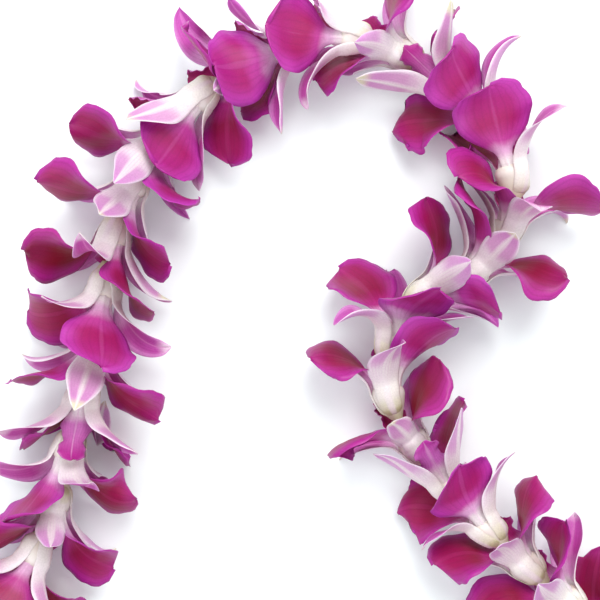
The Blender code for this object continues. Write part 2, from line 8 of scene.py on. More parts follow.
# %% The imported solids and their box
import json
import math
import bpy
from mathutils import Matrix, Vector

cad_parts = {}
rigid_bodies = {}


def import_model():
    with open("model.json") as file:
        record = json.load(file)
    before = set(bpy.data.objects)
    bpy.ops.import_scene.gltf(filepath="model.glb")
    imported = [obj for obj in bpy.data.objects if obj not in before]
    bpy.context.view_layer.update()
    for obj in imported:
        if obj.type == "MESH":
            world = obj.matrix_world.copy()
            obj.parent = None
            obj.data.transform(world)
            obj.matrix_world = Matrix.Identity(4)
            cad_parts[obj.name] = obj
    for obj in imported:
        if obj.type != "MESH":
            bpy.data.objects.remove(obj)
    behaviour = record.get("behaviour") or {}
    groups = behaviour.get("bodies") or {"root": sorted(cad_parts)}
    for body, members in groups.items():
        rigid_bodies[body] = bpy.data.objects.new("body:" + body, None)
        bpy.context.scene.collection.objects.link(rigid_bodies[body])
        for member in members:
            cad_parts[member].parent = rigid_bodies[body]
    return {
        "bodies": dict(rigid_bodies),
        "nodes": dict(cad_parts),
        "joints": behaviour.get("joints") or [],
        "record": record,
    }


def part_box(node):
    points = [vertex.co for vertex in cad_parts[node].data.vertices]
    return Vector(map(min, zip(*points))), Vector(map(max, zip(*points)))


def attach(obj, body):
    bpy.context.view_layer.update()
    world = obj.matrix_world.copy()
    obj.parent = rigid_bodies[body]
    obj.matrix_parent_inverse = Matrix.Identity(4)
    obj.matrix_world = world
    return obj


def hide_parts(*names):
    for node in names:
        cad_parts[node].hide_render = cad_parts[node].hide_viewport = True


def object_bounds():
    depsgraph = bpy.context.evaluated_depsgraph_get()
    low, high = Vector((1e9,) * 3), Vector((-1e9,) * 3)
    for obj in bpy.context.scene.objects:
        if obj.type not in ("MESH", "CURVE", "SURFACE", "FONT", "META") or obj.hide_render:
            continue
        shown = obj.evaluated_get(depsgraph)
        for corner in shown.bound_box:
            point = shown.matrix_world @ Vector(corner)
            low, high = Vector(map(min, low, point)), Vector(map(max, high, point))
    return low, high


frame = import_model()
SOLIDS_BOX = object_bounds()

from types import SimpleNamespace

import bpy
import numpy as np
from mathutils.bvhtree import BVHTree

MM = 0.001
print("the solids reach from", SOLIDS_BOX[0], "to", SOLIDS_BOX[1])

# %% [markdown]
# The lei lies on a white table, seen from straight above. A floor that is much larger than the lei
# stands for the table. Its white is a very little green and blue, because the light that the petals
# throw on it is magenta, and on plain white their shadows would look lilac. Every finish below is
# built from nodes, so a few short helpers for nodes come first.

# %% Helpers for finishes and objects
MODE_OF = {  # what each kind of node calls the setting that a finish changes
    "Math": "operation", "MapRange": "interpolation_type", "Mix": "data_type", "UVMap": "uv_map",
    "Attribute": "attribute_name",
}  # fmt: skip


def srgb(red, green, blue):
    """A colour given in 0..255 display values, as the linear values that shaders take."""
    value = np.array([red, green, blue]) / 255
    linear = np.where(value <= 0.04045, value / 12.92, ((value + 0.055) / 1.055) ** 2.4)
    return (*linear.tolist(), 1.0)


def finish_nodes(name):
    """A new material, its node tree, and its shader and output nodes."""
    made = bpy.data.materials.new(name)
    made.use_nodes = True
    tree = made.node_tree
    return made, tree, tree.nodes["Principled BSDF"], tree.nodes["Material Output"]


def fill(tree, node, inputs):
    """Sets a node's inputs, each by its name or as in0, in1..., or links them to other nodes."""
    for name, value in inputs.items():
        socket = node.inputs[int(name[2:]) if name.startswith("in") else name]
        if isinstance(value, bpy.types.NodeSocket):
            tree.links.new(value, socket)
        else:
            socket.default_value = value


def add_node(tree, kind, mode=None, **inputs):
    """A new node with its mode and its inputs."""
    node = tree.nodes.new("ShaderNode" + kind)
    if mode:
        setattr(node, MODE_OF[kind], mode)
    fill(tree, node, inputs)
    return node


def output_of(tree, kind, mode=None, **inputs):
    """The first output of a new node."""
    return add_node(tree, kind, mode, **inputs).outputs[0]


def scaled(tree, value, factor, plus=0.0):
    """value times factor, plus one more value."""
    return output_of(tree, "Math", "MULTIPLY_ADD", in0=value, in1=factor, in2=plus)


def ranged(tree, value, low, high, first=0.0, last=1.0, mode=None):
    """A value that goes from first to last while another goes from low to high."""
    return output_of(tree, "MapRange", mode, in0=value, in1=low, in2=high, in3=first, in4=last)


def noise(tree, scale, detail=2.0):
    """Noise in the object's own space."""
    place = add_node(tree, "TexCoord").outputs["Object"]
    return output_of(tree, "TexNoise", Vector=place, Scale=scale, Detail=detail)


def add_object(name, data):
    """A new object in the scene that holds a mesh, a camera or a lamp."""
    obj = bpy.data.objects.new(name, data)
    bpy.context.scene.collection.objects.link(obj)
    return obj


print("modes are set on", ", ".join(MODE_OF), "nodes")

# %% The table
TABLE_HALF, TABLE_DEPTH = 1.5, 0.01


def table():
    """A square sheet, closed under, with a faint grain in its roughness."""
    sides, heights = (-TABLE_HALF, TABLE_HALF), (-TABLE_DEPTH, 0)
    corners = [(x, y, z) for z in heights for y in sides for x in sides]
    faces = [(0, 2, 3, 1), (4, 5, 7, 6), (0, 1, 5, 4), (1, 3, 7, 5), (3, 2, 6, 7), (2, 0, 4, 6)]
    mesh = bpy.data.meshes.new("table")
    mesh.from_pydata(corners, [], faces)
    made, tree, shader, _ = finish_nodes("white table")
    rough = ranged(tree, noise(tree, 900.0), 0.0, 1.0, 0.55, 0.75)
    colour = srgb(244, 252, 251)
    fill(tree, shader, {"Base Color": colour, "Roughness": rough, "Specular IOR Level": 0.25})
    mesh.materials.append(made)
    return add_object("table", mesh)


table()
print("the table is a sheet", 2 * TABLE_HALF, "m square, with its top at z = 0")

# %% [markdown]
# The camera looks straight down. Its lens is long for its height, so petals at the edge of the view
# lean outward only a little. Two big soft lamps and a bright world give the light of a white room.
# The stronger lamp stands on the far side, so the shadows fall softly towards the near side.

# %% Camera and light
VIEW_WIDTH = 250 * MM  # how much of the table the picture spans
VIEW_CENTRE = (0.0, 66 * MM)
CAMERA_HEIGHT = 0.62
FOCUS_HEIGHT = 15 * MM  # the height of most petals, where the width is measured
SENSOR = 36.0


def camera_above():
    """Field of view: the lens length over the sensor is the distance over the width it spans."""
    data = bpy.data.cameras.new("camera")
    data.sensor_width = SENSOR
    data.lens = SENSOR * (CAMERA_HEIGHT - FOCUS_HEIGHT) / VIEW_WIDTH
    data.clip_end = 20
    obj = add_object("camera", data)
    obj.location = (*VIEW_CENTRE, CAMERA_HEIGHT)
    bpy.context.scene.camera = obj
    return data.lens


def lamp(name, place, size, power, colour):
    """A square area lamp that looks at the middle of the table."""
    data = bpy.data.lights.new(name, "AREA")
    data.size = size
    data.energy = power
    data.color = colour
    obj = add_object(name, data)
    obj.location = place
    away = np.array(place) - np.array([*VIEW_CENTRE, 0])
    obj.rotation_euler = (
        math.atan2(math.hypot(away[0], away[1]), away[2]), 0, math.atan2(away[0], -away[1])
    )


lens = camera_above()
lamp("window", (0.25, 0.95, 1.25), 0.9, 18.0, (1.0, 0.99, 0.97))
lamp("bounce", (-0.9, -0.5, 1.1), 1.2, 6.0, (0.95, 0.97, 1.0))
room = bpy.data.worlds.new("white room")
room.use_nodes = True
sky = room.node_tree.nodes["Background"]
fill(room.node_tree, sky, {"Color": (0.97, 0.98, 1.0, 1), "Strength": 0.95})
bpy.context.scene.world = room
bpy.context.scene.view_settings.view_transform = "Standard"
print(f"a {lens:.0f} mm lens, {CAMERA_HEIGHT} m above the table")

# %% [markdown]
# Everything hangs on the thread, so its route comes first. The route is a short list of points
# given in millimetres, the same list as in the solids. A cubic curve through them closes the loop,
# and distances along it then place the blooms. The thread sways up and down a little, because the
# blooms hold it at slightly different heights.

# %% The thread's route
ROUTE_MM = [
    (117, -131), (96, -112), (77, -94), (60, -75), (46, -58), (37, -40), (37, -19), (48, 0),
    (69, 10), (85, 27), (88, 50), (79, 71), (62, 87), (42, 102), (17, 109), (-6, 104),
    (-29, 93), (-48, 79), (-63, 61), (-73, 40), (-79, 21), (-82, 0), (-85, -21), (-92, -48),
    (-100, -79), (-111, -108), (-121, -129), (-130, -152), (-134, -178), (-122, -204),
    (-88, -226), (-38, -238), (18, -240), (70, -232), (112, -214), (134, -188), (132, -156),
]  # fmt: skip
ROUTE_MIDDLE_MM = (0, -66)
THREAD_HEIGHT = 18.5 * MM
THREAD_SWAY = 1.2 * MM
SWAYS = 7
OVERLAP = 4  # how many of the route's points are repeated at each end, to close the curve smoothly


def smooth_through(knots, x):
    """A smooth curve through (x, y...) knots, read at x: cubic Hermite pieces whose slopes are
    the knots' own finite differences."""
    knots = np.asarray(knots, float)
    at, values = knots[:, 0], knots[:, 1:]
    slopes = np.gradient(values, at, axis=0)
    x = np.atleast_1d(np.asarray(x, float))
    i = np.clip(np.searchsorted(at, x, side="right") - 1, 0, len(at) - 2)
    step = (at[i + 1] - at[i])[:, None]
    t = ((x - at[i]) / (at[i + 1] - at[i]))[:, None]
    rise = values[i + 1] - values[i]
    ease = t * t * (3 - 2 * t)
    lead = t * (1 - t) ** 2 * slopes[i] * step
    trail = t * t * (t - 1) * slopes[i + 1] * step
    return values[i] + rise * ease + lead + trail


def unit(v):
    """Vectors divided by their own lengths."""
    v = np.asarray(v, float)
    return v / np.linalg.norm(v, axis=-1, keepdims=True)


def distances(path):
    """How far each point of a path lies along it."""
    return np.concatenate([[0], np.cumsum(np.linalg.norm(np.diff(path, axis=0), axis=1))])


def route_knots():
    """The route's points with their distance along it, and the length of the loop."""
    points = (np.array(ROUTE_MM, float) - np.array(ROUTE_MIDDLE_MM)) * MM
    ring = np.concatenate([points[-OVERLAP:], points, points[: OVERLAP + 1]])
    along = distances(ring)
    along -= along[OVERLAP]
    return np.column_stack([along, ring]), along[OVERLAP + len(points)]


KNOTS, LOOP_LENGTH = route_knots()


def thread_point(s):
    """Where the thread is at a distance s along its loop."""
    s = np.mod(np.atleast_1d(s), LOOP_LENGTH)
    flat = smooth_through(KNOTS, s)
    height = THREAD_HEIGHT + THREAD_SWAY * np.sin(2 * np.pi * SWAYS * s / LOOP_LENGTH)
    return np.column_stack([flat, height])


def thread_axes(s):
    """(forward, side, up) unit vectors of the thread at each distance s."""
    reach = 2 * MM
    forward = unit(thread_point(np.atleast_1d(s) + reach) - thread_point(np.atleast_1d(s) - reach))
    side = unit(np.cross(np.array([0, 0, 1.0]), forward))
    return forward, side, np.cross(forward, side)


print(f"the thread's loop is {LOOP_LENGTH:.3f} m long")

# %% [markdown]
# A dendrobium bloom has three narrow sepals outside, two broad petals inside them and one lip below.
# All of them grow from a short pale bell, which bulges into a chin under the lip, and a small column
# stands in the throat. Each bloom here is the same plan with its own numbers: it is turned about the
# thread by its roll, tipped off it by its yaw and pitch, and every tepal opens, turns, twists and
# curls by its own amount. The numbers are drawn from one seeded generator, and the blooms that show
# best were given listed layouts.

# %% The plan of a bloom
STALK = (-14.0 * MM, 2.1 * MM)
SHOULDER = (-8.5 * MM, 5.3 * MM)
SEPAL_RIM = ((-2.0 * MM, 7.4 * MM), (-1.6 * MM, 6.5 * MM))
PETAL_RIM = ((0.8 * MM, 5.8 * MM), (0.6 * MM, 4.9 * MM))
OUTSIDE = (STALK, SHOULDER, *SEPAL_RIM, PETAL_RIM[0])
SIDES = 6
CHIN_BULGE = 1.5 * MM
SEPAL_OUTLINE = ((0, 0.46), (0.2, 0.82), (0.45, 1.0), (0.7, 0.78), (0.88, 0.42), (1, 0.12))
PETAL_OUTLINE = ((0, 0.15), (0.18, 0.26), (0.38, 0.8), (0.58, 1.0), (0.82, 0.84), (1, 0.16))
LIP_OUTLINE = ((0, 0.22), (0.3, 1.0), (0.55, 0.62), (0.78, 0.78), (1, 0.16))


def tepal(kind, side, azimuth, length, width, opens, cup, outline, ruffle):
    """One of the bloom's six tepals: the bell's side that it grows from, the azimuth it eases to
    round the bloom (0 is the bloom's right, 90 its top), its length and width, the angles from the
    bloom's axis that it opens at, the turn of its cross-section's arc (root and tip of each), its
    outline, and the height of its ruffles."""
    return SimpleNamespace(
        kind=kind, side=side, azimuth=azimuth, length=length * MM, width=width * MM, opens=opens,
        cup=cup, outline=outline, ruffle=ruffle * MM,
    )  # fmt: skip


TEPALS = (
    tepal("petal_right", 0, 10, 35, 33, (24, 88), (0.9, -0.3), PETAL_OUTLINE, 1.6),
    tepal("petal_left", 2, 170, 35, 33, (24, 88), (0.9, -0.3), PETAL_OUTLINE, 1.6),
    tepal("sepal_top", 1, 90, 34, 16, (28, 92), (0.8, 0.3), SEPAL_OUTLINE, 0.6),
    tepal("sepal_left", 3, 220, 34, 18, (28, 92), (1.0, 0.4), SEPAL_OUTLINE, 0.6),
    tepal("sepal_right", 5, -40, 34, 18, (28, 92), (1.0, 0.4), SEPAL_OUTLINE, 0.6),
    tepal("lip", 4, 270, 24, 16, (14, 68), (1.3, 0.8), LIP_OUTLINE, 0.9),
)
print("each bloom has", ", ".join(tepal.kind for tepal in TEPALS))

# %% How each bloom grew
BLOOM_COUNT = 46
SEED = 11
VARIES = {  # how far a tepal may differ from the plan, in the order drawn; angles in degrees
    "open": 16, "azimuth": 9, "sweep": 18, "twist": 24, "cup": 0.9, "phase": 1, "scale": 0.08, "curl": 60,
}  # fmt: skip
USUAL_SIZE = 0.99
ON_TOP, AT_SIDE = 0.6, -0.5  # how high round the thread a tepal grows, from -1 to 1
TOP_FOLD = 46  # degrees that tepals on top close or fold back
FACE_UP, FACE_DOWN, SIDE_OPEN = 58, 45, 8  # degrees that those at the sides turn and open

# How some blooms are laid out: the bloom's roll, and for some tepals how far they lean
# round the bloom, the angle that the tip opens to, and the twist.
ARRANGED = {
    1: (-13, {"petal_left": (0, 92, 60), "petal_right": (0, 62, -20)}),
    2: (-10, {"sepal_top": (0, 40, 0), "petal_left": (12, 78, 50), "petal_right": (-16, 66, -30)}),
    3: (-60, {"sepal_right": (4, 74, 0), "petal_left": (-14, 84, 50), "petal_right": (0, 48, 0)}),
    4: (180, {"lip": (0, 40, 0), "sepal_right": (6, 28, 0), "sepal_left": (0, 44, 0)}),
    5: (0, {"sepal_top": (0, 30, 0), "petal_left": (14, 88, -20), "petal_right": (-4, 88, -40)}),
    6: (-5, {"petal_left": (0, 98, 45), "petal_right": (0, 84, 20)}),
    7: (-48, {"petal_right": (0, 50, 0), "petal_left": (10, 92, 30), "sepal_right": (4, 88, -40)}),
    8: (-15, {"sepal_top": (8, 36, 0), "petal_left": (16, 96, 30)}),
    9: (5, {"sepal_top": (16, 50, 10), "petal_right": (0, 86, -62), "petal_left": (12, 84, 20)}),
    10: (15, {"petal_right": (0, 104, 30), "petal_left": (6, 96, 40), "sepal_top": (0, 120, 0)}),
    11: (-72, {"petal_right": (0, 44, 0), "sepal_right": (0, 88, -40), "sepal_top": (8, 96, 40)}),
    12: (-50, {"petal_right": (0, 40, 0), "sepal_right": (8, 92, -20), "petal_left": (0, 84, 40)}),
    13: (170, {"lip": (0, 44, 0), "sepal_right": (0, 50, 0), "sepal_left": (0, 70, 0)}),
    14: (-20, {"petal_left": (12, 64, 40), "sepal_top": (0, 30, 0), "petal_right": (-8, 96, -40)}),
    15: (-74, {"petal_right": (0, 42, 0), "sepal_top": (10, 96, 40), "sepal_right": (0, 84, -40)}),
    16: (-74, {"petal_right": (0, 42, 0), "sepal_top": (8, 92, 40), "sepal_right": (0, 80, -40)}),
    17: (-20, {"petal_right": (-6, 100, -50), "petal_left": (0, 92, 40), "sepal_top": (0, 56, 0)}),
    18: (-100, {"petal_right": (0, 44, 0), "sepal_right": (6, 60, -20), "sepal_top": (0, 92, 40)}),
    19: (-5, {"petal_left": (0, 140, 70), "petal_right": (-8, 84, -60), "sepal_top": (0, 44, 0)}),
    20: (0, {"petal_right": (-10, 88, -40), "petal_left": (12, 100, 30), "sepal_top": (0, 40, 0)}),
    21: (12, {"petal_right": (6, 102, -60), "sepal_left": (-14, 84, 10), "petal_left": (0, 70, 30)}),
    22: (40, {"petal_right": (0, 100, -50), "petal_left": (0, 50, 0), "sepal_top": (0, 90, -40)}),
    23: (-8, {"sepal_left": (-14, 80, 30), "petal_right": (-12, 70, -20), "sepal_top": (0, 42, 0)}),
    24: (180, {"lip": (0, 50, 0), "sepal_left": (0, 96, -40), "sepal_right": (0, 84, 40)}),
    25: (-25, {"petal_left": (0, 100, 62), "petal_right": (0, 60, -20)}),
    26: (-10, {"petal_left": (14, 80, 46), "petal_right": (-12, 92, -40), "sepal_top": (0, 34, 0)}),
    27: (-60, {"petal_right": (0, 48, 0), "petal_left": (0, 84, 50), "sepal_top": (0, 84, 30)}),
}


def is_sepal(tepal):
    """Sepals grow from the bell's odd sides."""
    return tepal.side % 2 == 1


def habits():
    """How each bloom sits: rolled about the thread, tipped off it, and how each tepal grew. Sepals
    on top close over the next bloom, petals there close or fold back, and most of those at the
    sides turn their inside up."""
    rng = np.random.default_rng(SEED)
    grown = []
    for index in range(BLOOM_COUNT):
        roll, yaw, pitch = rng.uniform(-180, 180), rng.uniform(-12, 12), rng.uniform(-9, 10)
        roll, arranged = ARRANGED.get(index + 1, (roll, {}))
        changes = []
        for tepal in TEPALS:
            chance, *draws = rng.uniform(-1, 1, 1 + len(VARIES))
            height = math.sin(math.radians(tepal.azimuth - roll))
            across_up = math.cos(math.radians(tepal.azimuth - roll))
            change = {what: most * draw for (what, most), draw in zip(VARIES.items(), draws)}
            change = SimpleNamespace(arranged=tepal.kind in arranged, **change)
            change.scale += USUAL_SIZE
            if height > ON_TOP:
                closes = chance < (0.6 if is_sepal(tepal) else 0.0)
                change.open += -TOP_FOLD if closes else TOP_FOLD
            elif height > AT_SIDE:
                face_up = chance > (0.1 if is_sepal(tepal) else -0.6)
                change.twist += math.copysign(FACE_UP if face_up else -FACE_DOWN, -across_up)
                change.open += SIDE_OPEN
            if change.arranged:
                change.azimuth, tip, change.twist = arranged[tepal.kind]
                change.open = tip - tepal.opens[1]
            changes.append(change)
        grown.append(SimpleNamespace(roll=roll, yaw=yaw, pitch=pitch, changes=changes))
    return grown


grown = habits()
print(len(grown), "blooms, of which", len(ARRANGED), "were laid out by hand")

# %% A bloom's place on the thread
def turned(vectors, axis, angle):
    """Vectors turned about a unit axis by an angle in radians (Rodrigues' formula)."""
    vectors = np.asarray(vectors, float)
    along = (vectors @ axis)[..., None] * axis
    return along + (vectors - along) * math.cos(angle) + np.cross(axis, vectors) * math.sin(angle)


def bloom_frame(index, habit):
    """Origin and (right, up, forward) axes of a bloom: its place on the thread, rolled about it,
    and tipped a little off it."""
    s = (index + 0.5) * LOOP_LENGTH / BLOOM_COUNT
    forward, side, up = (v[0] for v in thread_axes(s))
    forward = turned(forward, up, math.radians(habit.yaw))
    side = turned(side, up, math.radians(habit.yaw))
    forward = turned(forward, side, math.radians(-habit.pitch))
    up = np.cross(forward, side)
    right = turned(-side, forward, math.radians(habit.roll))
    up = turned(up, forward, math.radians(habit.roll))
    return SimpleNamespace(s=s, origin=thread_point(s)[0], right=right, up=up, forward=forward)


frames = [bloom_frame(index, habit) for index, habit in enumerate(grown)]
print(f"one bloom every {LOOP_LENGTH / BLOOM_COUNT / MM:.1f} mm of thread")

# %% [markdown]
# A tepal is a surface of two parameters: u runs from its root to its tip, and v from its left edge
# to its right. Its centre-line starts on the rim of the bell and is marched forward in small steps,
# each in the direction that the opening angle gives there. Across it lies an arc, as wide as the
# outline says, turned by the twist. A drooping tepal levels out above the table, and what would
# still reach under it is folded flat. The step count is fixed, so a coarse grid and a fine grid of
# the same tepal lie on one surface, and the fine bloom fits its solid.

# %% The surface of a tepal
SPINE_STEPS = 40
EASE_POWER = 0.9  # how early along the tepal it opens
TWIST_POWER = 0.7
FLOOR_EASE = 6.0 * MM
GROUND_PRESS = 1.5 * MM
GROUND_HUG = 0.25 * MM
CREEP = 0.15  # how much a petal that lies on the ground still points along the thread
EDGE_SHARE = 0.7  # how much of its half width counts when its edge comes near the ground
FOLD_SHARE = 0.6  # how far a folded edge moves along the ground, for what would lie under it
RUFFLE_WAVES = 1.6
RUFFLE_SLANT = 0.23


def root_azimuth(tepal):
    """The middle, in degrees, of the bell's side that a tepal grows from."""
    return 360 / SIDES * (tepal.side + 0.5)


def half_width(tepal, change, u):
    """Half the tepal's width at each u."""
    return smooth_through(tepal.outline, u)[:, 0] * tepal.width / 2 * math.sqrt(change.scale)


def tepal_angles(tepal, change, u):
    """The angle from the bloom's axis and the azimuth round it, in radians, at each u."""
    ease = u**EASE_POWER
    opened = tepal.opens[0] + (tepal.opens[1] + change.open - tepal.opens[0]) * ease
    opened = opened + change.curl * (u**3 - 0.5 * u)
    root = root_azimuth(tepal)
    turn_to = (tepal.azimuth + change.azimuth - root + 180) % 360 - 180
    azimuth = root + turn_to * ease + change.sweep * u**2
    return np.radians(opened), np.radians(azimuth)


def tepal_spine(frame, tepal, change):
    """The centre-line as points and headings, and the direction across it, at every small step."""
    u = np.linspace(0, 1, SPINE_STEPS + 1)
    opened, azimuth = tepal_angles(tepal, change, u)
    radial = np.cos(azimuth)[:, None] * frame.right + np.sin(azimuth)[:, None] * frame.up
    heading = np.cos(opened)[:, None] * frame.forward + np.sin(opened)[:, None] * radial
    across = np.cross(radial, frame.forward)
    half = half_width(tepal, change, u)
    step = tepal.length * change.scale / SPINE_STEPS

    rim = np.mean(SEPAL_RIM if is_sepal(tepal) else PETAL_RIM, axis=0)
    spine = np.empty_like(heading)
    spine[0] = frame.origin + rim[0] * frame.forward
    spine[0] += rim[1] * math.cos(math.pi / SIDES) * radial[0]
    for k in range(SPINE_STEPS):
        room = EDGE_SHARE * half[k] * abs(across[k, 2]) - GROUND_PRESS
        lowest = -max(spine[k, 2] - room, 0) / FLOOR_EASE
        if heading[k, 2] < lowest:
            flat = heading[k, :2] + CREEP * frame.forward[:2]
            flat *= math.sqrt(max(1 - lowest**2, 0)) / np.linalg.norm(flat)
            heading[k] = (*flat, lowest)
        spine[k + 1] = spine[k] + heading[k] * step
    heading[-1] = heading[-2]
    return spine, heading, across


def tepal_sheet(frame, tepal, change, stations, columns):
    """The middle surface of one tepal as a grid of points, a row for each station along it: each
    row is an arc whose turn goes from cup[0] to cup[1], with ruffles that grow to the edges."""
    spine, heading, across = tepal_spine(frame, tepal, change)
    picked = np.round(np.asarray(stations) * SPINE_STEPS).astype(int)
    u = picked / SPINE_STEPS
    half = half_width(tepal, change, u)
    spine, across, heading = spine[picked], across[picked], heading[picked]
    across = unit(across - (across * heading).sum(axis=1, keepdims=True) * heading)
    twist = np.radians(change.twist * u**TWIST_POWER)[:, None]
    inward = np.cross(across, heading)
    across, inward = (
        np.cos(twist) * across + np.sin(twist) * inward,
        np.cos(twist) * inward - np.sin(twist) * across,
    )

    v = np.linspace(-1, 1, columns + 1)
    turn = (tepal.cup[0] + (tepal.cup[1] + change.cup - tepal.cup[0]) * u)[:, None]
    turn = np.where(np.abs(turn) < 1e-3, 1e-3, turn)
    sideways = half[:, None] * np.sin(turn * v) / turn
    lift = half[:, None] * (1 - np.cos(turn * v)) / turn
    wave = np.sin(2 * np.pi * (RUFFLE_WAVES * u[:, None] + RUFFLE_SLANT * v + change.phase))
    lift = lift + tepal.ruffle * wave * v**2 * u[:, None]
    sheet = spine[:, None] + sideways[..., None] * across[:, None] + lift[..., None] * inward[:, None]
    deep = np.maximum(GROUND_HUG - sheet[..., 2], 0)
    sheet[..., :2] += FOLD_SHARE * deep[..., None] * inward[:, None, :2]
    sheet[..., 2] += deep
    return sheet


print("a tepal's centre-line has", SPINE_STEPS, "steps")

# %% [markdown]
# Petals of neighbouring blooms push each other aside and never pass through one another. The solids
# were settled by trial: each tepal tries small bends, the slightest first, until it clears the
# thread, the bells and every tepal placed before it. The same trials are repeated here on the same
# coarse surfaces, so every fine tepal ends up with the same bend as its solid.

# %% Closed shells of sheets, tubes and bells
def grid_faces(rows, columns):
    """Quads between the points of a grid, and the loop of its border points, both going the same
    way round."""
    i = np.arange(rows * columns).reshape(rows, columns)
    quads = np.stack([i[:-1, :-1], i[:-1, 1:], i[1:, 1:], i[1:, :-1]], axis=-1).reshape(-1, 4)
    border = np.concatenate([i[0, :-1], i[:-1, -1], i[-1, :0:-1], i[:0:-1, 0]])
    return quads, border


def normals(sheet):
    """The unit normals of a grid of points."""
    return unit(np.cross(np.gradient(sheet, axis=1), np.gradient(sheet, axis=0)))


def skins(sheet, thickness):
    """A sheet's front and back, half a thickness away along its normals, and not under the ground."""
    normal = normals(sheet)
    both = sheet + normal * thickness / 2, sheet - normal * thickness / 2
    for skin in both:
        skin[..., 2] = np.maximum(skin[..., 2], 0)
    return both


def blade_shell(sheet, thickness):
    """A sheet as a closed blade: the front quads, the back quads turned round, and a band of quads
    along the border."""
    front, back = skins(sheet, thickness)
    points = np.concatenate([front.reshape(-1, 3), back.reshape(-1, 3)])
    quads, border = grid_faces(*sheet.shape[:2])
    beyond = front.shape[0] * front.shape[1]
    after = np.roll(border, -1)
    band = np.stack([after, border, border + beyond, after + beyond], axis=-1)
    return points, quads, quads[:, ::-1] + beyond, band


def angles_round(sides):
    """Evenly spaced angles round an axis."""
    return 2 * np.pi * np.arange(sides) / sides


def rings_round(path, reach, side, up, sides):
    """A ring of points round each point of a path: its point plus reach (side cos a + up sin a)."""
    angle = angles_round(sides)[:, None]
    ring = np.cos(angle) * side[:, None] + np.sin(angle) * up[:, None]
    return (path[:, None] + reach * ring).reshape(-1, 3)


def tube_shell(path, radius, sides):
    """An open-ended tube round a list of points: a ring of points for each, and quads between."""
    forward = unit(np.gradient(path, axis=0))
    side = unit(np.cross(np.array([0, 0, 1.0]), forward))
    return rings_round(path, radius, side, np.cross(forward, side), sides), ring_faces(len(path), sides)


def ring_faces(rings, sides):
    """Quads between rings of points, wound so that they face outwards."""
    i = np.arange(rings * sides).reshape(rings, sides)
    following = np.roll(i, -1, axis=1)
    return np.stack([i[:-1], following[:-1], following[1:], i[1:]], axis=-1).reshape(-1, 4)


def bell_ring(frame, ring, angle, grow=0.0):
    """Points of one ring of the bell: its rims sit square to the bloom, and its stalk follows the
    thread, with its shoulder, which bulges into the chin under the lip."""
    z, radius = ring
    if ring in SEPAL_RIM or ring in PETAL_RIM:
        centre, right, up = frame.origin + z * frame.forward, frame.right, frame.up
    else:
        forward, _, _ = (v[0] for v in thread_axes(frame.s + z))
        right = unit(frame.right - (frame.right @ forward) * forward)
        centre, up = thread_point(frame.s + z)[0], np.cross(right, forward)
    chin = CHIN_BULGE * np.maximum(-np.sin(angle), 0) ** 2 if ring == SHOULDER else 0
    reach = (radius + grow + chin) * np.ones(len(angle))
    return centre + (reach * np.cos(angle))[:, None] * right + (reach * np.sin(angle))[:, None] * up


def bell_hull(frame, grow):
    """The bell's outside, a little larger."""
    angle = angles_round(SIDES)
    points = np.concatenate([bell_ring(frame, ring, angle, grow) for ring in OUTSIDE])
    return points, ring_faces(len(OUTSIDE), SIDES)


def tree_of(points, *faces):
    """A search tree of a shell's faces, for crossing tests."""
    return BVHTree.FromPolygons(points.tolist(), np.concatenate(faces).tolist())


print("a bell's hull has", SIDES * len(OUTSIDE), "points")

# %% The thread's knot and its two tails, as the trials see them
KNOT_AT = 5.8 * MM  # how far in front of the last bloom's throat
KNOT_RADIUS = 1.5 * MM
THREAD_RADIUS = 0.45 * MM
TAIL_LENGTH = 9 * MM
TAIL_SPREAD = 0.35
TAIL_DROOP = (0.22, 0.3)  # how far a tail bows outwards, and down for that
TAIL_AHEAD = 0.25


def knot_frame():
    """The knot's middle and the thread's axes there."""
    s = (BLOOM_COUNT - 0.5) * LOOP_LENGTH / BLOOM_COUNT + KNOT_AT
    return thread_point(s)[0], *(v[0] for v in thread_axes(s))


def tail_path(lean, points):
    """One tail: it leaves the knot upwards and leans out and over, as a parabola."""
    centre, forward, side, up = knot_frame()
    t = np.linspace(0, 1, points)[:, None]
    heading = unit(up + TAIL_SPREAD * lean * side + TAIL_AHEAD * forward)
    bow, droop = TAIL_DROOP
    return centre + TAIL_LENGTH * (t * heading + bow * t**2 * (lean * side - droop * up))


print(f"the knot sits {KNOT_AT / MM:.1f} mm in front of the last bloom's throat")


# %% The trials
CLEARANCE_THICKNESS = 1.1 * MM  # what a tepal counts as beside other blooms
OWN_THICKNESS = 0.9 * MM  # and beside the other tepals of its own bloom
BELL_GAP = 0.6 * MM
NEAR = 90 * MM  # blooms that are further apart can't touch
THREAD_STEP = 6 * MM
THREAD_SIDES = 5
TAIL_POINTS = 5
SEPAL_STATIONS = (0, 0.3, 0.7, 1)
BROAD_STATIONS = (0, 0.2, 0.5, 0.8, 1)


def stations_of(tepal):
    """Where the rows of a tepal's coarse sheet lie along it."""
    return SEPAL_STATIONS if is_sepal(tepal) else BROAD_STATIONS


def bends():
    """The ways that a tepal may bend to clear its neighbours, the slightest first: how much further
    it opens, how far it leans round the bloom, its size, and how much of its twist it keeps."""
    found = []
    for size in (1.0, 0.9, 0.8, 0.68, 0.55, 0.42, 0.3):
        for lean in (0, -10, 10, -20, 20, -32, 32):
            for opened in (0, -8, 8, -16, 16, -28, 28, -44, 44):
                for keep in (1, 0) if size in (0.9, 0.55, 0.3) else (1,):
                    cost = abs(opened) / 8 + abs(lean) / 7 + (1 - size) * 30
                    found.append((cost, opened, lean, size, keep))
    return sorted(found)


def bent(change, way):
    """A tepal's change with one of those bends added."""
    _, opened, lean, size, keep = way
    more = SimpleNamespace(**vars(change))
    more.open += opened
    more.azimuth += lean
    more.scale *= size
    more.twist *= keep
    more.curl *= keep
    return more


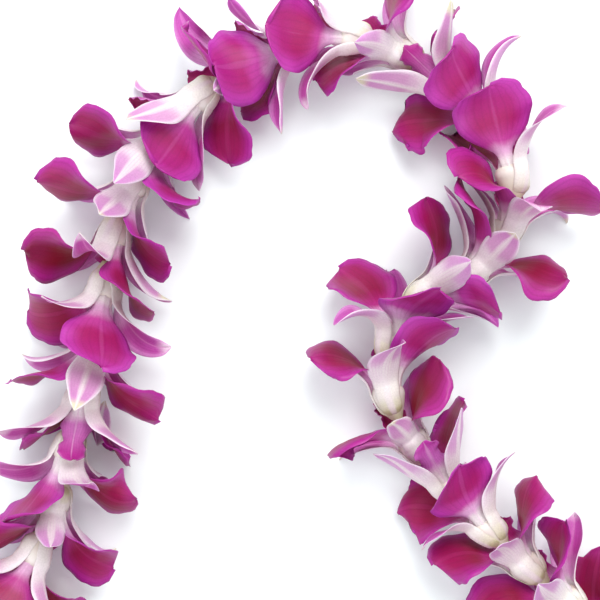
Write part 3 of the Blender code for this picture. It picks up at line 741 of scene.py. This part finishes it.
def placed(frames, grown):
    """The coarse sheets of every bloom by tepal kind, each bent just enough to clear the thread, the
    bells and the tepals that were placed before it. Those with listed layouts come first. The bends
    are written back to the blooms' changes."""
    loop = thread_point(np.arange(0, LOOP_LENGTH + THREAD_STEP, THREAD_STEP))
    standing = [tree_of(*tube_shell(loop, THREAD_RADIUS + BELL_GAP, THREAD_SIDES))]
    for lean in (-1, 1):
        standing.append(tree_of(*tube_shell(tail_path(lean, TAIL_POINTS), THREAD_RADIUS, THREAD_SIDES)))
    bells = [tree_of(*bell_hull(frame, BELL_GAP)) for frame in frames]
    order = sorted(
        (not change.arranged, index, number)
        for index, habit in enumerate(grown)
        for number, change in enumerate(habit.changes)
    )
    ways = bends()
    own = [[] for _ in frames]
    others = [[] for _ in frames]
    sheets = [{} for _ in frames]
    for _, index, number in order:
        frame, tepal = frames[index], TEPALS[number]
        obstacles = list(standing)
        for other in range(BLOOM_COUNT):
            if other != index and np.linalg.norm(frames[other].origin - frame.origin) < NEAR:
                obstacles += [bells[other], *others[other]]
        for way in ways:
            change = bent(grown[index].changes[number], way)
            sheet = tepal_sheet(frame, tepal, change, stations_of(tepal), 2)
            thin = tree_of(*blade_shell(sheet, OWN_THICKNESS))
            if any(thin.overlap(tree) for tree in own[index]):
                continue
            thick = tree_of(*blade_shell(sheet, CLEARANCE_THICKNESS))
            if any(thick.overlap(tree) for tree in obstacles):
                continue
            sheets[index][tepal.kind] = sheet
            grown[index].changes[number] = change
            own[index].append(thin)
            others[index].append(thick)
            break
    return sheets


kept = placed(frames, grown)
print(sum(len(kinds) for kinds in kept), "tepals found room, of", BLOOM_COUNT * len(TEPALS))

# %% [markdown]
# The bell is a turned form: a closed profile of radius against distance, carried round the axis. Its
# stalk end follows the thread, its mouth sits square to the bloom, and the frame between them is a
# blend of the two. Three soft lobes run into the sepals and the chin swells under the lip.

# %% The bell
BELL_SIDES, BELL_ROWS = 30, 36
BELL_PROFILE_MM = (
    (-14.0, 1.0), (-14.1, 1.6), (-13.2, 2.2), (-11.0, 3.6), (-8.5, 5.0), (-5.5, 6.1), (-2.6, 6.8),
    (-1.0, 6.7), (0.4, 6.0), (0.9, 5.4), (0.2, 4.8), (-2.0, 3.2), (-5.0, 1.3), (-9.0, 1.0),
)  # fmt: skip
BELL_MOUTH = 7  # the profile's point at the mouth; those before it are the outer wall
LOBE = 0.05
CHIN_SPREAD = 3.6 * MM
BLEND_MM = (2, 3)  # how far behind the mouth the blend starts, and how long it is


def smooth_step(x):
    """0 below 0, 1 above 1, and 3x^2 - 2x^3 between."""
    x = np.clip(x, 0, 1)
    return x * x * (3 - 2 * x)


def bell_axes(frame, z):
    """Centre, right and up at distances z: the bloom's own at the mouth, the thread's at the stalk."""
    ease = smooth_step((-z / MM - BLEND_MM[0]) / BLEND_MM[1])[:, None]
    forward = unit((1 - ease) * frame.forward + ease * thread_axes(frame.s + z)[0])
    centre = (1 - ease) * (frame.origin + z[:, None] * frame.forward) + ease * thread_point(frame.s + z)
    right = unit(frame.right - (forward @ frame.right)[:, None] * forward)
    return centre, right, np.cross(right, forward)


def bell_surface(frame, z, radius, angle, outer=1.0):
    """Points at distances z and angles round the axis: the radius times 1 + LOBE cos 3(a - 90), plus
    a chin that falls off as a Gaussian along the axis and as sin^2 round it."""
    centre, right, up = bell_axes(frame, z)
    chin = CHIN_BULGE * np.exp(-(((z - SHOULDER[0]) / CHIN_SPREAD) ** 2)) * outer
    reach = radius[:, None] * (1 + LOBE * np.cos(3 * (angle - math.pi / 2)))
    reach = reach + chin[:, None] * np.maximum(-np.sin(angle), 0) ** 2
    sideways = (reach * np.cos(angle))[..., None] * right[:, None]
    return centre[:, None] + sideways + (reach * np.sin(angle))[..., None] * up[:, None]


def bell_shell(frame):
    """The closed bell as a ring of rings, and the uv of its points: u along it and v round it."""
    knots = np.array(BELL_PROFILE_MM + BELL_PROFILE_MM[:1]) * MM
    along = distances(knots)
    rows = np.linspace(0, along[-1], BELL_ROWS, endpoint=False)
    z, radius = smooth_through(np.column_stack([along, knots]), rows).T
    angle = angles_round(BELL_SIDES)
    outer = rows < along[BELL_MOUTH]
    points = bell_surface(frame, z, radius, angle[None], outer).reshape(-1, 3)
    faces = ring_faces(BELL_ROWS + 1, BELL_SIDES) % len(points)
    u = np.repeat(rows / along[-1], BELL_SIDES)
    return points, faces, np.column_stack([u, np.tile(angle / (2 * np.pi), BELL_ROWS)])


points, faces, _ = bell_shell(frames[0])
print("a bell has", len(faces), "faces")

# %% [markdown]
# With the bends known, each tepal is worked out again on a fine grid. Its first rows ease into a
# round arc on the bell's rim. A sepal has more rows before those: in a real bloom the three sepals
# are the bell's outer wall, so its foot wraps a third of the bell, and is carried down almost to the
# stalk, a hair proud of the bell. A small relief is then laid along the surface's normals: a groove
# down each sepal, soft pleats and a waved edge on the petals, and the raised callus in the lip. The
# blade is thickest along its middle and thins out to its edges.

# %% Fine tepals
FINE_ROWS, FINE_COLUMNS = 31, 14
ROOT_EASE = 0.16  # how far up the tepal the round root blends into the sheet
ROOT_SINK = 1.2 * MM
CEILING = SOLIDS_BOX[1][2] + 0.8 * MM  # no tip stands higher than the solids' do
POINTED_TIP, ROUND_TIP = 0.13, 0.18  # how much of a sepal or lip, and of a petal, rounds off
WRAP_ROWS = 9
WRAP_FOOT = -11.0 * MM
WRAP_U = 0.3  # how much of u, below 0, the wrap takes
WRAP_HALF = (59, 45)  # degrees each side of the sepal's middle, at its foot and at the rim
WRAP_LIFT = (-0.5 * MM, 0.35 * MM)  # how far off the bell it starts, and soon is
RIM_THICKNESS, MIDDLE_THICKNESS = 0.14 * MM, 0.55 * MM


def wrap_rows(frame, tepal, v):
    """A sepal's foot on the bell: rows from near the stalk to the rim, on the bell's outer wall."""
    t = np.linspace(0, 1, WRAP_ROWS)
    outer = np.array(BELL_PROFILE_MM[1:BELL_MOUTH]) * MM
    z = WRAP_FOOT + (outer[-1, 0] - WRAP_FOOT) * t
    lift = WRAP_LIFT[0] + (WRAP_LIFT[1] - WRAP_LIFT[0]) * smooth_step(t / 0.3)
    half = WRAP_HALF[0] + (WRAP_HALF[1] - WRAP_HALF[0]) * t
    angle = np.radians(root_azimuth(tepal) + half[:, None] * v)
    return bell_surface(frame, z, smooth_through(outer, z)[:, 0] + lift, angle), WRAP_U * (t - 1)


def rim_row(frame, tepal, v):
    """The arc on the rim where a petal or the lip grows."""
    rim = np.mean(PETAL_RIM, axis=0)
    z = np.array([rim[0] - ROOT_SINK])
    angle = np.radians(root_azimuth(tepal) + 180 / SIDES * v)
    return bell_surface(frame, z, rim[1:], angle[None], 0.0), np.zeros(1)


def wave(turns):
    """The sine of a number of full turns."""
    return np.sin(2 * np.pi * turns)


def ridge(v, width):
    """A Gaussian ridge down the middle."""
    return np.exp(-((v / width) ** 2))


def relief(tepal, change, u, v):
    """How far the surface stands out along its normal: a Gaussian groove or callus down the middle,
    cosine pleats across, and a sine frill that grows with the fourth power of the distance out."""
    u, v, phase = u[:, None], v[None], change.phase
    if tepal.kind == "lip":
        callus = 0.6 * MM * ridge(v, 0.2) * smooth_step(u / 0.2) * smooth_step((0.6 - u) / 0.2)
        return callus + 0.8 * MM * v**4 * wave(6 * u + phase) * u
    if is_sepal(tepal):
        groove = ridge(v, 0.18) * (1 - 0.6 * u) * smooth_step((u + WRAP_U) / WRAP_U)
        return -0.45 * MM * groove + 0.2 * MM * v**4 * wave(2.5 * u + phase) * u
    pleats = 0.16 * MM * np.cos(2 * np.pi * 3.5 * v) * np.sin(np.pi * u)
    swell = 0.5 * MM * wave(1.4 * u + 0.6 * v - phase) * u * (1 - v**2)
    frill = 0.7 * MM * v**4 * wave(3.3 * u + 0.2 * v + phase) * u
    rolled = -1.1 * MM * v**6 * u
    return pleats + swell + frill + rolled - 0.45 * MM * ridge(v, 0.16) * (1 - u)


def tip_share(tepal, u):
    """The fine half width over the coarse one. A pointed tip closes as a quarter of an ellipse. A
    petal's swells instead to (1 - t^2.2)^0.7 of the width it had where its tip began."""
    if "petal" not in tepal.kind:
        return np.sqrt(1 - 0.96 * np.clip((u - 1 + POINTED_TIP) / POINTED_TIP, 0, 1) ** 2)
    t = np.clip((u - 1 + ROUND_TIP) / ROUND_TIP, 0, 1)
    outline = smooth_through(tepal.outline, u)[:, 0]
    began = smooth_through(tepal.outline, [1 - ROUND_TIP])[0, 0]
    return np.where(t > 0, began * np.maximum(1 - t**2.2, 0.01) ** 0.7 / outline, 1)


def fine_tepal(frame, tepal, change):
    """A closed fine blade, and the u and v of its points. The flat sheet takes over from the round
    root by a smooth step of u. Its thickness grows from the rim's by (1 - v^4)(1 - u / 2)."""
    u = np.round(np.linspace(0, 1, FINE_ROWS) * SPINE_STEPS)[1:] / SPINE_STEPS
    v = np.linspace(-1, 1, FINE_COLUMNS + 1)
    foot, foot_u = (wrap_rows if is_sepal(tepal) else rim_row)(frame, tepal, v)
    reach = foot[-1] - frame.origin
    radial = unit(reach - (reach @ frame.forward)[:, None] * frame.forward)
    opened = math.radians(tepal.opens[0])
    along = math.cos(opened) * frame.forward + math.sin(opened) * radial
    arc = foot[-1] + (u * tepal.length)[:, None, None] * along
    ease = smooth_step(u / ROOT_EASE)[:, None, None]
    sheet = arc * (1 - ease) + tepal_sheet(frame, tepal, change, u, FINE_COLUMNS) * ease
    middle = sheet[:, FINE_COLUMNS // 2, None]
    sheet = middle + (sheet - middle) * tip_share(tepal, u)[:, None, None]
    sheet, u = np.concatenate([foot, sheet]), np.concatenate([foot_u, u])
    sheet = sheet + normals(sheet) * relief(tepal, change, u, v)[..., None]
    sheet[..., 2] = np.minimum(sheet[..., 2], CEILING)
    swell = (1 - v[None] ** 4) * (1 - 0.5 * u[:, None])
    thickness = RIM_THICKNESS + (MIDDLE_THICKNESS - RIM_THICKNESS) * swell
    along, across = np.meshgrid((u + WRAP_U) / (1 + WRAP_U), (v + 1) / 2, indexing="ij")
    uv = np.column_stack([along.ravel(), across.ravel()])
    return blade_shell(sheet, thickness[..., None]), np.concatenate([uv, uv])


for tepal in TEPALS[:2]:
    sample, _ = fine_tepal(frames[0], tepal, grown[0].changes[0])
    print("a fine", tepal.kind, "has", len(sample[0]), "points")

# %% [markdown]
# The column is a small closed pod that leans forward from the top of the throat: rings of points
# round a short bent axis, closed by one point at each end.

# %% The column
COLUMN_SIDES = 12
COLUMN_AXIS_MM = ((-1.5, 4.6), (0.5, 4.3), (2.5, 3.6), (4.2, 2.9), (5.0, 2.5))
COLUMN_RADII_MM = (0.9, 1.1, 1.05, 1.15, 0.75)
COLUMN_ENDS = (0.4 * MM, 0.5 * MM)  # how far its end points stand off its first and last ring


def column_shell(frame):
    """A pod round the column's axis: rings of points, closed by one point at each end."""
    axis = np.array(COLUMN_AXIS_MM) * MM
    path = frame.origin + axis[:, :1] * frame.forward + axis[:, 1:] * frame.up
    forward = unit(np.gradient(path, axis=0))
    radii = np.array(COLUMN_RADII_MM)[:, None, None] * MM
    rings = rings_round(path, radii, frame.right[None], np.cross(forward, frame.right), COLUMN_SIDES)
    ends = [path[0] - COLUMN_ENDS[0] * forward[0], path[-1] + COLUMN_ENDS[1] * forward[-1]]
    points = np.concatenate([rings, ends])
    first, last = len(points) - 2, len(points) - 1
    quads = ring_faces(len(path), COLUMN_SIDES)[:, ::-1]
    around = np.arange(COLUMN_SIDES)
    after = np.roll(around, -1)
    start = (len(path) - 1) * COLUMN_SIDES
    caps = [np.column_stack([around, after, np.full_like(around, first)])]
    caps.append(np.column_stack([start + after, start + around, np.full_like(around, last)]))
    rows = np.repeat(np.linspace(0, 1, len(path)), COLUMN_SIDES)
    return points, quads, np.concatenate(caps), np.append(rows, [0, 1])


print("a column has", len(column_shell(frames[0])[0]), "points")

# %% [markdown]
# Petals are thin, so light comes through them as well as off them. Each finish is a glossy surface
# mixed with a translucent one of the same colour. Colour runs along u from the white base through
# crimson to magenta. Noise and the tepal's tone shift those bands, so no two tepals are alike, and
# the insides of petals with the highest tone turn a deep crimson, partly a deeper tone of their own
# and partly painted shade, the dark of shaded petal insides. Across v lie a paler band along the
# midrib and a paler edge, and fine lines along v are the veins, which also press into the surface.
# Insides and backs have separate finishes, because a back stays white further up its base.

# %% The finish of a petal
VEIN_STRENGTH = 0.2
HUE_SPREAD = 0.014  # how far the tepal's tone moves the hue, towards red
DEEP_TONE_AND_PAINTED_SHADE = (112, 8, 36)  # a deep crimson on the insides of high-tone petals: partly their own deeper tone, partly painted shade
BLOTCH, TONE_SHIFT = 0.30, 0.14  # how far noise and tone move the bands of colour
WAXY_SPECULAR = 0.42


def colour_ramp(tree, factor, stops):
    """A ramp through (position, colour) stops, read at a factor."""
    ramp = add_node(tree, "ValToRGB", Fac=factor)
    elements = ramp.color_ramp.elements
    ramp.color_ramp.interpolation = "EASE"
    for number, (position, colour) in enumerate(stops):
        element = elements[number] if number < 2 else elements.new(position)
        element.position = position
        element.color = srgb(*colour)
    return ramp.outputs["Color"]


def mix_colours(tree, factor, first, second):
    """A colour in display values laid over another by a factor."""
    return add_node(tree, "Mix", "RGBA", in0=factor, in6=first, in7=srgb(*second)).outputs[2]


def uv_of(tree):
    """The u and v of a shell."""
    return add_node(tree, "SeparateXYZ", Vector=output_of(tree, "UVMap", "UVMap")).outputs[:2]


def glowing(tree, shader, output, share, **inputs):
    """Mixes the shader with a share of light let through the material."""
    through = output_of(tree, "BsdfTranslucent", **inputs)
    both = output_of(tree, "MixShader", Fac=share, in1=shader.outputs[0], in2=through)
    tree.links.new(both, output.inputs["Surface"])


def petal_finish(name, stops, rib, margin, vein_colour, roughness, glow, deep_tone_and_shade=0.0):
    """A petal's material. stops are its colours along u, from the wrap's foot to the tip. rib is
    (half its width, how strong, colour) of the paler band down the middle, and margin (where it
    starts, how strong, colour) of the paler edge. glow is the share of light let through, and the
    last argument how much a tepal of the highest tone takes of the deep crimson, which is partly a
    deeper tone and partly painted shade."""
    made, tree, shader, output = finish_nodes(name)
    u, v = uv_of(tree)
    along = scaled(tree, u, 1 + WRAP_U, -WRAP_U)
    across = scaled(tree, v, 2.0, -1.0)
    tone = add_node(tree, "Attribute", "tone").outputs["Fac"]

    drift = scaled(tree, noise(tree, 70.0, 3.0), BLOTCH, -BLOTCH / 2)
    drift = scaled(tree, tone, TONE_SHIFT, drift)
    stops = [((at + WRAP_U) / (1 + WRAP_U), stop) for at, stop in stops]
    colour = colour_ramp(tree, scaled(tree, drift, 1 / (1 + WRAP_U), u), stops)
    # Painted shade: the insides of high-tone petals darken towards the crimson of shaded petals, partly
    # also their own deeper tone.
    deep_tone_and_shade_share = ranged(tree, along, 0.2, 0.45, 0.0, ranged(tree, tone, 0.1, 1.0, 0.0, deep_tone_and_shade))
    colour = mix_colours(tree, deep_tone_and_shade_share, colour, DEEP_TONE_AND_PAINTED_SHADE)

    edge = scaled(tree, drift, 0.6, output_of(tree, "Math", "ABSOLUTE", in0=across))
    reach, strength, rib_colour = rib
    inner = ranged(tree, edge, reach / 4, reach, strength, 0.0, "SMOOTHSTEP")
    colour = mix_colours(tree, inner, colour, rib_colour)
    start, strength, margin_colour = margin
    outer = ranged(tree, edge, start, 1.0, 0.0, strength, "SMOOTHSTEP")
    outer = scaled(tree, outer, ranged(tree, along, 0.12, 0.4))
    colour = mix_colours(tree, outer, colour, margin_colour)

    fanned = scaled(tree, across, ranged(tree, along, 0.0, 0.6, 3.2, 2.2))
    lines = output_of(tree, "CombineXYZ", X=fanned, Y=along)
    veins = add_node(tree, "TexWave", Vector=lines, Scale=0.75, Distortion=2.5, Detail=3.0)
    veins.inputs["Detail Scale"].default_value = 1.6
    vein = output_of(tree, "Math", "POWER", in0=veins.outputs["Fac"], in1=6.0)
    shown = scaled(tree, vein, ranged(tree, along, 0.1, 0.45, 0.0, VEIN_STRENGTH))
    colour = mix_colours(tree, shown, colour, vein_colour)

    cells = noise(tree, 1400.0)
    bright = ranged(tree, cells, 0.3, 0.7, 0.94, 1.06)
    hue = scaled(tree, tone, HUE_SPREAD, 0.5)
    colour = output_of(tree, "HueSaturation", Hue=hue, Value=bright, Color=colour)
    height = scaled(tree, vein, -0.8, cells)
    bump = output_of(tree, "Bump", Height=height, Strength=0.25, Distance=0.12 * MM)
    surface = {"Base Color": colour, "Normal": bump, "Roughness": roughness}
    fill(tree, shader, {**surface, "Specular IOR Level": WAXY_SPECULAR})
    glowing(tree, shader, output, glow, Color=colour, Normal=bump)
    return made


# For each: its colours along u, rib, margin, vein colour, roughness, glow, and the share of the deep
# crimson that is partly painted shade.
PETAL_LOOKS = {
    "petal inside": (
        ((-0.3, (248, 246, 240)), (0.03, (246, 232, 238)), (0.1, (232, 166, 214)), (0.2, (190, 44, 132)),
         (0.42, (150, 13, 60)), (0.7, (160, 19, 80)), (1, (176, 34, 130))),
        (0.06, 0.16, (206, 70, 140)), (0.34, 0.9, (186, 44, 160)), (120, 14, 60), 0.4, 0.2, 0.75,
    ),
    "petal back": (
        ((-0.3, (250, 249, 242)), (0.08, (249, 243, 243)), (0.2, (234, 184, 224)), (0.36, (198, 66, 160)),
         (0.54, (174, 30, 108)), (0.8, (176, 30, 124)), (1, (186, 42, 152))),
        (0.06, 0.14, (214, 120, 196)), (0.4, 0.85, (200, 66, 186)), (140, 20, 100), 0.44, 0.2, 0.2,
    ),
    "sepal inside": (
        ((-0.3, (250, 249, 240)), (0.06, (249, 242, 244)), (0.24, (234, 178, 222)), (0.48, (202, 78, 172)),
         (0.85, (198, 82, 176)), (1, (238, 210, 232))),
        (0.18, 0.55, (228, 144, 208)), (0.55, 0.85, (228, 156, 218)), (150, 24, 116), 0.48, 0.22,
    ),
    "sepal back": (
        ((-0.3, (216, 219, 172)), (-0.22, (240, 241, 216)), (-0.05, (252, 251, 243)),
         (0.26, (250, 244, 246)), (0.5, (230, 178, 222)), (0.86, (222, 156, 214)), (1, (230, 228, 196))),
        (0.3, 0.85, (252, 248, 246)), (0.72, 0.95, (254, 249, 254)), (212, 140, 200), 0.5, 0.24,
    ),
    "lip inside": (
        ((-0.3, (250, 246, 226)), (0.1, (244, 226, 228)), (0.24, (222, 140, 200)), (0.4, (176, 24, 108)),
         (1, (160, 14, 92))),
        (0.1, 0.3, (200, 60, 130)), (0.65, 0.8, (190, 50, 160)), (110, 6, 60), 0.4, 0.2,
    ),
    "lip back": (
        ((-0.3, (250, 248, 232)), (0.14, (246, 234, 240)), (0.36, (214, 120, 200)), (1, (182, 40, 150))),
        (0.12, 0.4, (236, 190, 226)), (0.8, 0.6, (220, 140, 208)), (150, 30, 120), 0.48, 0.2,
    ),
}  # fmt: skip
FINISHES = {name: petal_finish(name, *look) for name, look in PETAL_LOOKS.items()}
print("finishes:", ", ".join(FINISHES))

# %% [markdown]
# The bell is waxy and opaque white, greenish at the cut stalk, with a flush of tan and pink round
# its shoulder. The column is white with a magenta cap. Both are simpler than the petals, so they
# share one function that colours a shape along its u and adds the same fine grain.

# %% The finish of bell and column
WAX_GLOW = 0.18


def waxy_finish(name, stops, blush, roughness):
    """A ramp along u, with a noisy blush of one more colour, and a soft glow under the surface."""
    made, tree, shader, output = finish_nodes(name)
    blotch = noise(tree, 160.0, 4.0)
    shifted = output_of(tree, "Math", "ADD", in0=uv_of(tree)[0], in1=scaled(tree, blotch, 0.08, -0.04))
    colour = colour_ramp(tree, shifted, stops)
    colour = mix_colours(tree, ranged(tree, blotch, 0.45, 0.75, 0.0, 0.4), colour, blush)
    bump = output_of(tree, "Bump", Height=noise(tree, 1100.0), Strength=0.25, Distance=0.1 * MM)
    fill(tree, shader, {"Base Color": colour, "Normal": bump, "Roughness": roughness})
    glowing(tree, shader, output, WAX_GLOW, Color=colour)
    return made


FINISHES["bell"] = waxy_finish(
    "bell",
    (
        (0, (200, 208, 150)), (0.08, (226, 228, 188)), (0.2, (244, 243, 222)), (0.42, (250, 248, 240)),
        (0.6, (248, 238, 206)), (1, (226, 214, 150)),
    ),
    (230, 204, 192), 0.42,
)  # fmt: skip
FINISHES["column"] = waxy_finish(
    "column", ((0, (246, 244, 234)), (0.6, (236, 206, 222)), (1, (176, 60, 130))), (240, 226, 232), 0.38
)
print(len(FINISHES), "finishes on a bloom")

# %% [markdown]
# A bloom is one object: the bell, the column and its tepals are closed shells that meet inside it,
# as the parts of a real flower grow together. The shells are stacked into one mesh with a material
# number for each face, a UV map for the finishes, and one attribute, tone, that makes some blooms
# and tepals a little darker. The object stands in for the solid of the same number.

# %% A mesh from stacked shells
BLOOM_TONES, TEPAL_TONES = 0.7, 0.4  # how far the tones of blooms, and of tepals on one, differ


def stacked(name, shells, finishes):
    """One object from shells of (points, [(faces, material number)...], uv, tone)."""
    counts = np.cumsum([0] + [len(shell[0]) for shell in shells])
    faces, numbers = [], []
    for offset, (_, groups, _, _) in zip(counts, shells):
        for quads, number in groups:
            faces += (quads + offset).tolist()
            numbers += [number] * len(quads)
    mesh = bpy.data.meshes.new(name)
    mesh.from_pydata(np.concatenate([shell[0] for shell in shells]).tolist(), [], faces)
    mesh.polygons.foreach_set("material_index", numbers)
    corner = np.empty(len(mesh.loops), np.int32)
    mesh.loops.foreach_get("vertex_index", corner)
    uv = np.concatenate([shell[2] for shell in shells])
    mesh.uv_layers.new(name="UVMap").data.foreach_set("uv", uv[corner].ravel())
    tone = np.concatenate([np.full(len(shell[0]), shell[3]) for shell in shells])
    mesh.attributes.new("tone", "FLOAT", "POINT").data.foreach_set("value", tone)
    mesh.shade_smooth()
    for finish in finishes:
        mesh.materials.append(finish)
    return add_object(name, mesh)


def bloom_shells(index, rng):
    """The shells of one bloom. A finish's number is its place in FINISHES."""
    frame, habit = frames[index], grown[index]
    number_of = list(FINISHES).index
    bloom_tone = rng.uniform(-BLOOM_TONES, BLOOM_TONES)
    points, faces, uv = bell_shell(frame)
    shells = [(points, [(faces, number_of("bell"))], uv, bloom_tone)]
    points, quads, caps, rows = column_shell(frame)
    groups = [(quads, number_of("column")), (caps, number_of("column"))]
    shells.append((points, groups, np.column_stack([rows, rows]), bloom_tone))
    for tepal, change in zip(TEPALS, habit.changes):
        if tepal.kind not in kept[index]:
            continue
        (points, front, back, band), uv = fine_tepal(frame, tepal, change)
        sort = tepal.kind.split("_")[0]
        inside, outside = number_of(sort + " inside"), number_of(sort + " back")
        groups = [(front, inside), (back, outside), (band, outside)]
        shells.append((points, groups, uv, bloom_tone + rng.uniform(-TEPAL_TONES, TEPAL_TONES)))
    return shells


print("a bloom is a bell, a column and up to", len(TEPALS), "tepals, in one mesh")

# %% All the blooms
tone_draws = np.random.default_rng(SEED)
faces_in_all = 0
worst = 0.0
for index in range(BLOOM_COUNT):
    name = f"bloom_{index + 1:02d}"
    bloom = stacked(name, bloom_shells(index, tone_draws), FINISHES.values())
    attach(bloom, "root")
    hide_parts(f"orchid_{index + 1:02d}")
    faces_in_all += len(bloom.data.polygons)
    corners = np.array(bloom.bound_box)
    low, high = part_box(f"orchid_{index + 1:02d}")
    gaps = np.abs(np.concatenate([corners.min(axis=0) - low, corners.max(axis=0) - high]))
    worst = max(worst, gaps.max())
print(BLOOM_COUNT, "blooms,", faces_in_all, "faces")
print("their sides differ from the solids' by", round(worst / MM, 1), "mm at most")

# %% [markdown]
# The thread is two-ply cotton. It is a tube whose section is two round strands side by side, turned
# steadily as it goes along, which is what twisted yarn is. The knot is an overhand knot pulled
# tight: its curve is a trefoil, the simplest closed knot, and the two tails leave from its middle.
# The tails end in a few loose fibres.

# %% The thread
STRAND_TURN = 2.6 * MM  # the length of one full turn of the two strands
YARN_SIDES = 8
YARN_STEP = 0.4 * MM
STRAND_DIP = 0.33  # how much of the radius is missing between the strands
END_TAPER = 0.3
KNOT_POINTS, TAIL_FINE_POINTS, FIBRE_POINTS = 90, 24, 7
KNOT_DEPTH = 1.6
FIBRES = 6
FIBRE_RADIUS, FIBRE_LENGTH, FIBRE_SINK = 0.08 * MM, 2.2 * MM, 0.5 * MM
FIBRE_FAN, FIBRE_BEND = 0.55, 0.6


def yarn_shell(path, radius, closed):
    """A twisted tube: at angle a round it and distance s along it the radius is full where the two
    strands lie and a third less between them, as |cos(a - 2 pi s / turn)| says."""
    if closed:
        forward = unit(np.roll(path, -1, axis=0) - np.roll(path, 1, axis=0))
    else:
        forward = unit(np.gradient(path, axis=0))
    reference = np.where(np.abs(forward[:, 2:]) > 0.9, [[1.0, 0, 0]], [[0, 0, 1.0]])
    side = unit(np.cross(reference, forward))
    up = np.cross(forward, side)
    s = distances(path)
    turned_by = angles_round(YARN_SIDES) - 2 * np.pi * s[:, None] / STRAND_TURN
    reach = radius * (1 - STRAND_DIP + STRAND_DIP * np.abs(np.cos(turned_by)))
    if not closed:
        reach[[0, -1]] *= END_TAPER
    points = rings_round(path, reach[..., None], side, up, YARN_SIDES)
    if closed:
        return points, [ring_faces(len(path) + 1, YARN_SIDES) % len(points)], s
    around = np.arange(YARN_SIDES)
    caps = np.array([around[::-1], len(points) - YARN_SIDES + around])
    return points, [ring_faces(len(path), YARN_SIDES), caps], s


def knot_path():
    """A trefoil: (sin t + 2 sin 2t, cos t - 2 cos 2t, -sin 3t), squeezed to the knot's size."""
    centre, forward, side, up = knot_frame()
    t = angles_round(KNOT_POINTS)
    size = (KNOT_RADIUS - THREAD_RADIUS) / 3
    across = np.sin(t) + 2 * np.sin(2 * t)
    over = np.cos(t) - 2 * np.cos(2 * t)
    ahead = -KNOT_DEPTH * np.sin(3 * t)
    return centre + size * (np.column_stack([across, over, ahead]) @ np.array([side, up, forward]))


def fibre_paths(lean, rng):
    """Loose fibres at the end of a tail: short arcs that fan out from it."""
    path = tail_path(lean, TAIL_FINE_POINTS // 2)
    heading = unit(path[-1] - path[-2])
    t = np.linspace(0, 1, FIBRE_POINTS)[:, None]
    fans = unit(heading + FIBRE_FAN * rng.normal(size=(FIBRES, 3)))
    start = path[-1] - FIBRE_SINK * heading
    return [start + FIBRE_LENGTH * t * (heading + FIBRE_BEND * t * (fan - heading)) for fan in fans]


print(f"the yarn's strands turn once in {STRAND_TURN / MM:.1f} mm")

# %% Cotton
def cotton_finish():
    """Undyed cotton: matt, with fibres drawn along the yarn as a fine stretched noise."""
    made, tree, shader, _ = finish_nodes("cotton")
    stretched = output_of(tree, "Mapping", Vector=output_of(tree, "UVMap", "UVMap"), Scale=(60, 9, 1))
    fibres = output_of(tree, "TexNoise", Vector=stretched, Scale=4.0, Detail=4.0)
    colour = colour_ramp(tree, fibres, ((0.3, (214, 204, 178)), (0.7, (244, 238, 222))))
    bump = output_of(tree, "Bump", Height=fibres, Strength=0.6, Distance=0.1 * MM)
    surface = {"Base Color": colour, "Normal": bump, "Roughness": 0.9}
    fill(tree, shader, {**surface, "Sheen Weight": 0.3})
    return made


def yarn_piece(path, radius, closed):
    """A yarn's shell with its uv: u along it in centimetres and v round it."""
    points, groups, s = yarn_shell(path, radius, closed)
    around = np.tile(np.arange(YARN_SIDES) / YARN_SIDES, len(path))
    uv = np.column_stack([np.repeat(s * 100, YARN_SIDES), around])
    return points, [(group, 0) for group in groups], uv, 0.0


fibre_draws = np.random.default_rng(SEED + 1)
loop = thread_point(np.arange(0, LOOP_LENGTH - YARN_STEP, YARN_STEP))
yarns = [yarn_piece(path, THREAD_RADIUS, True) for path in (loop, knot_path())]
for lean in (-1, 1):
    yarns.append(yarn_piece(tail_path(lean, TAIL_FINE_POINTS), THREAD_RADIUS, False))
    yarns += [yarn_piece(path, FIBRE_RADIUS, False) for path in fibre_paths(lean, fibre_draws)]
cotton_thread = stacked("cotton_thread", yarns, (cotton_finish(),))
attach(cotton_thread, "root")
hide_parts("thread")
print("the thread has", len(cotton_thread.data.polygons), "faces")
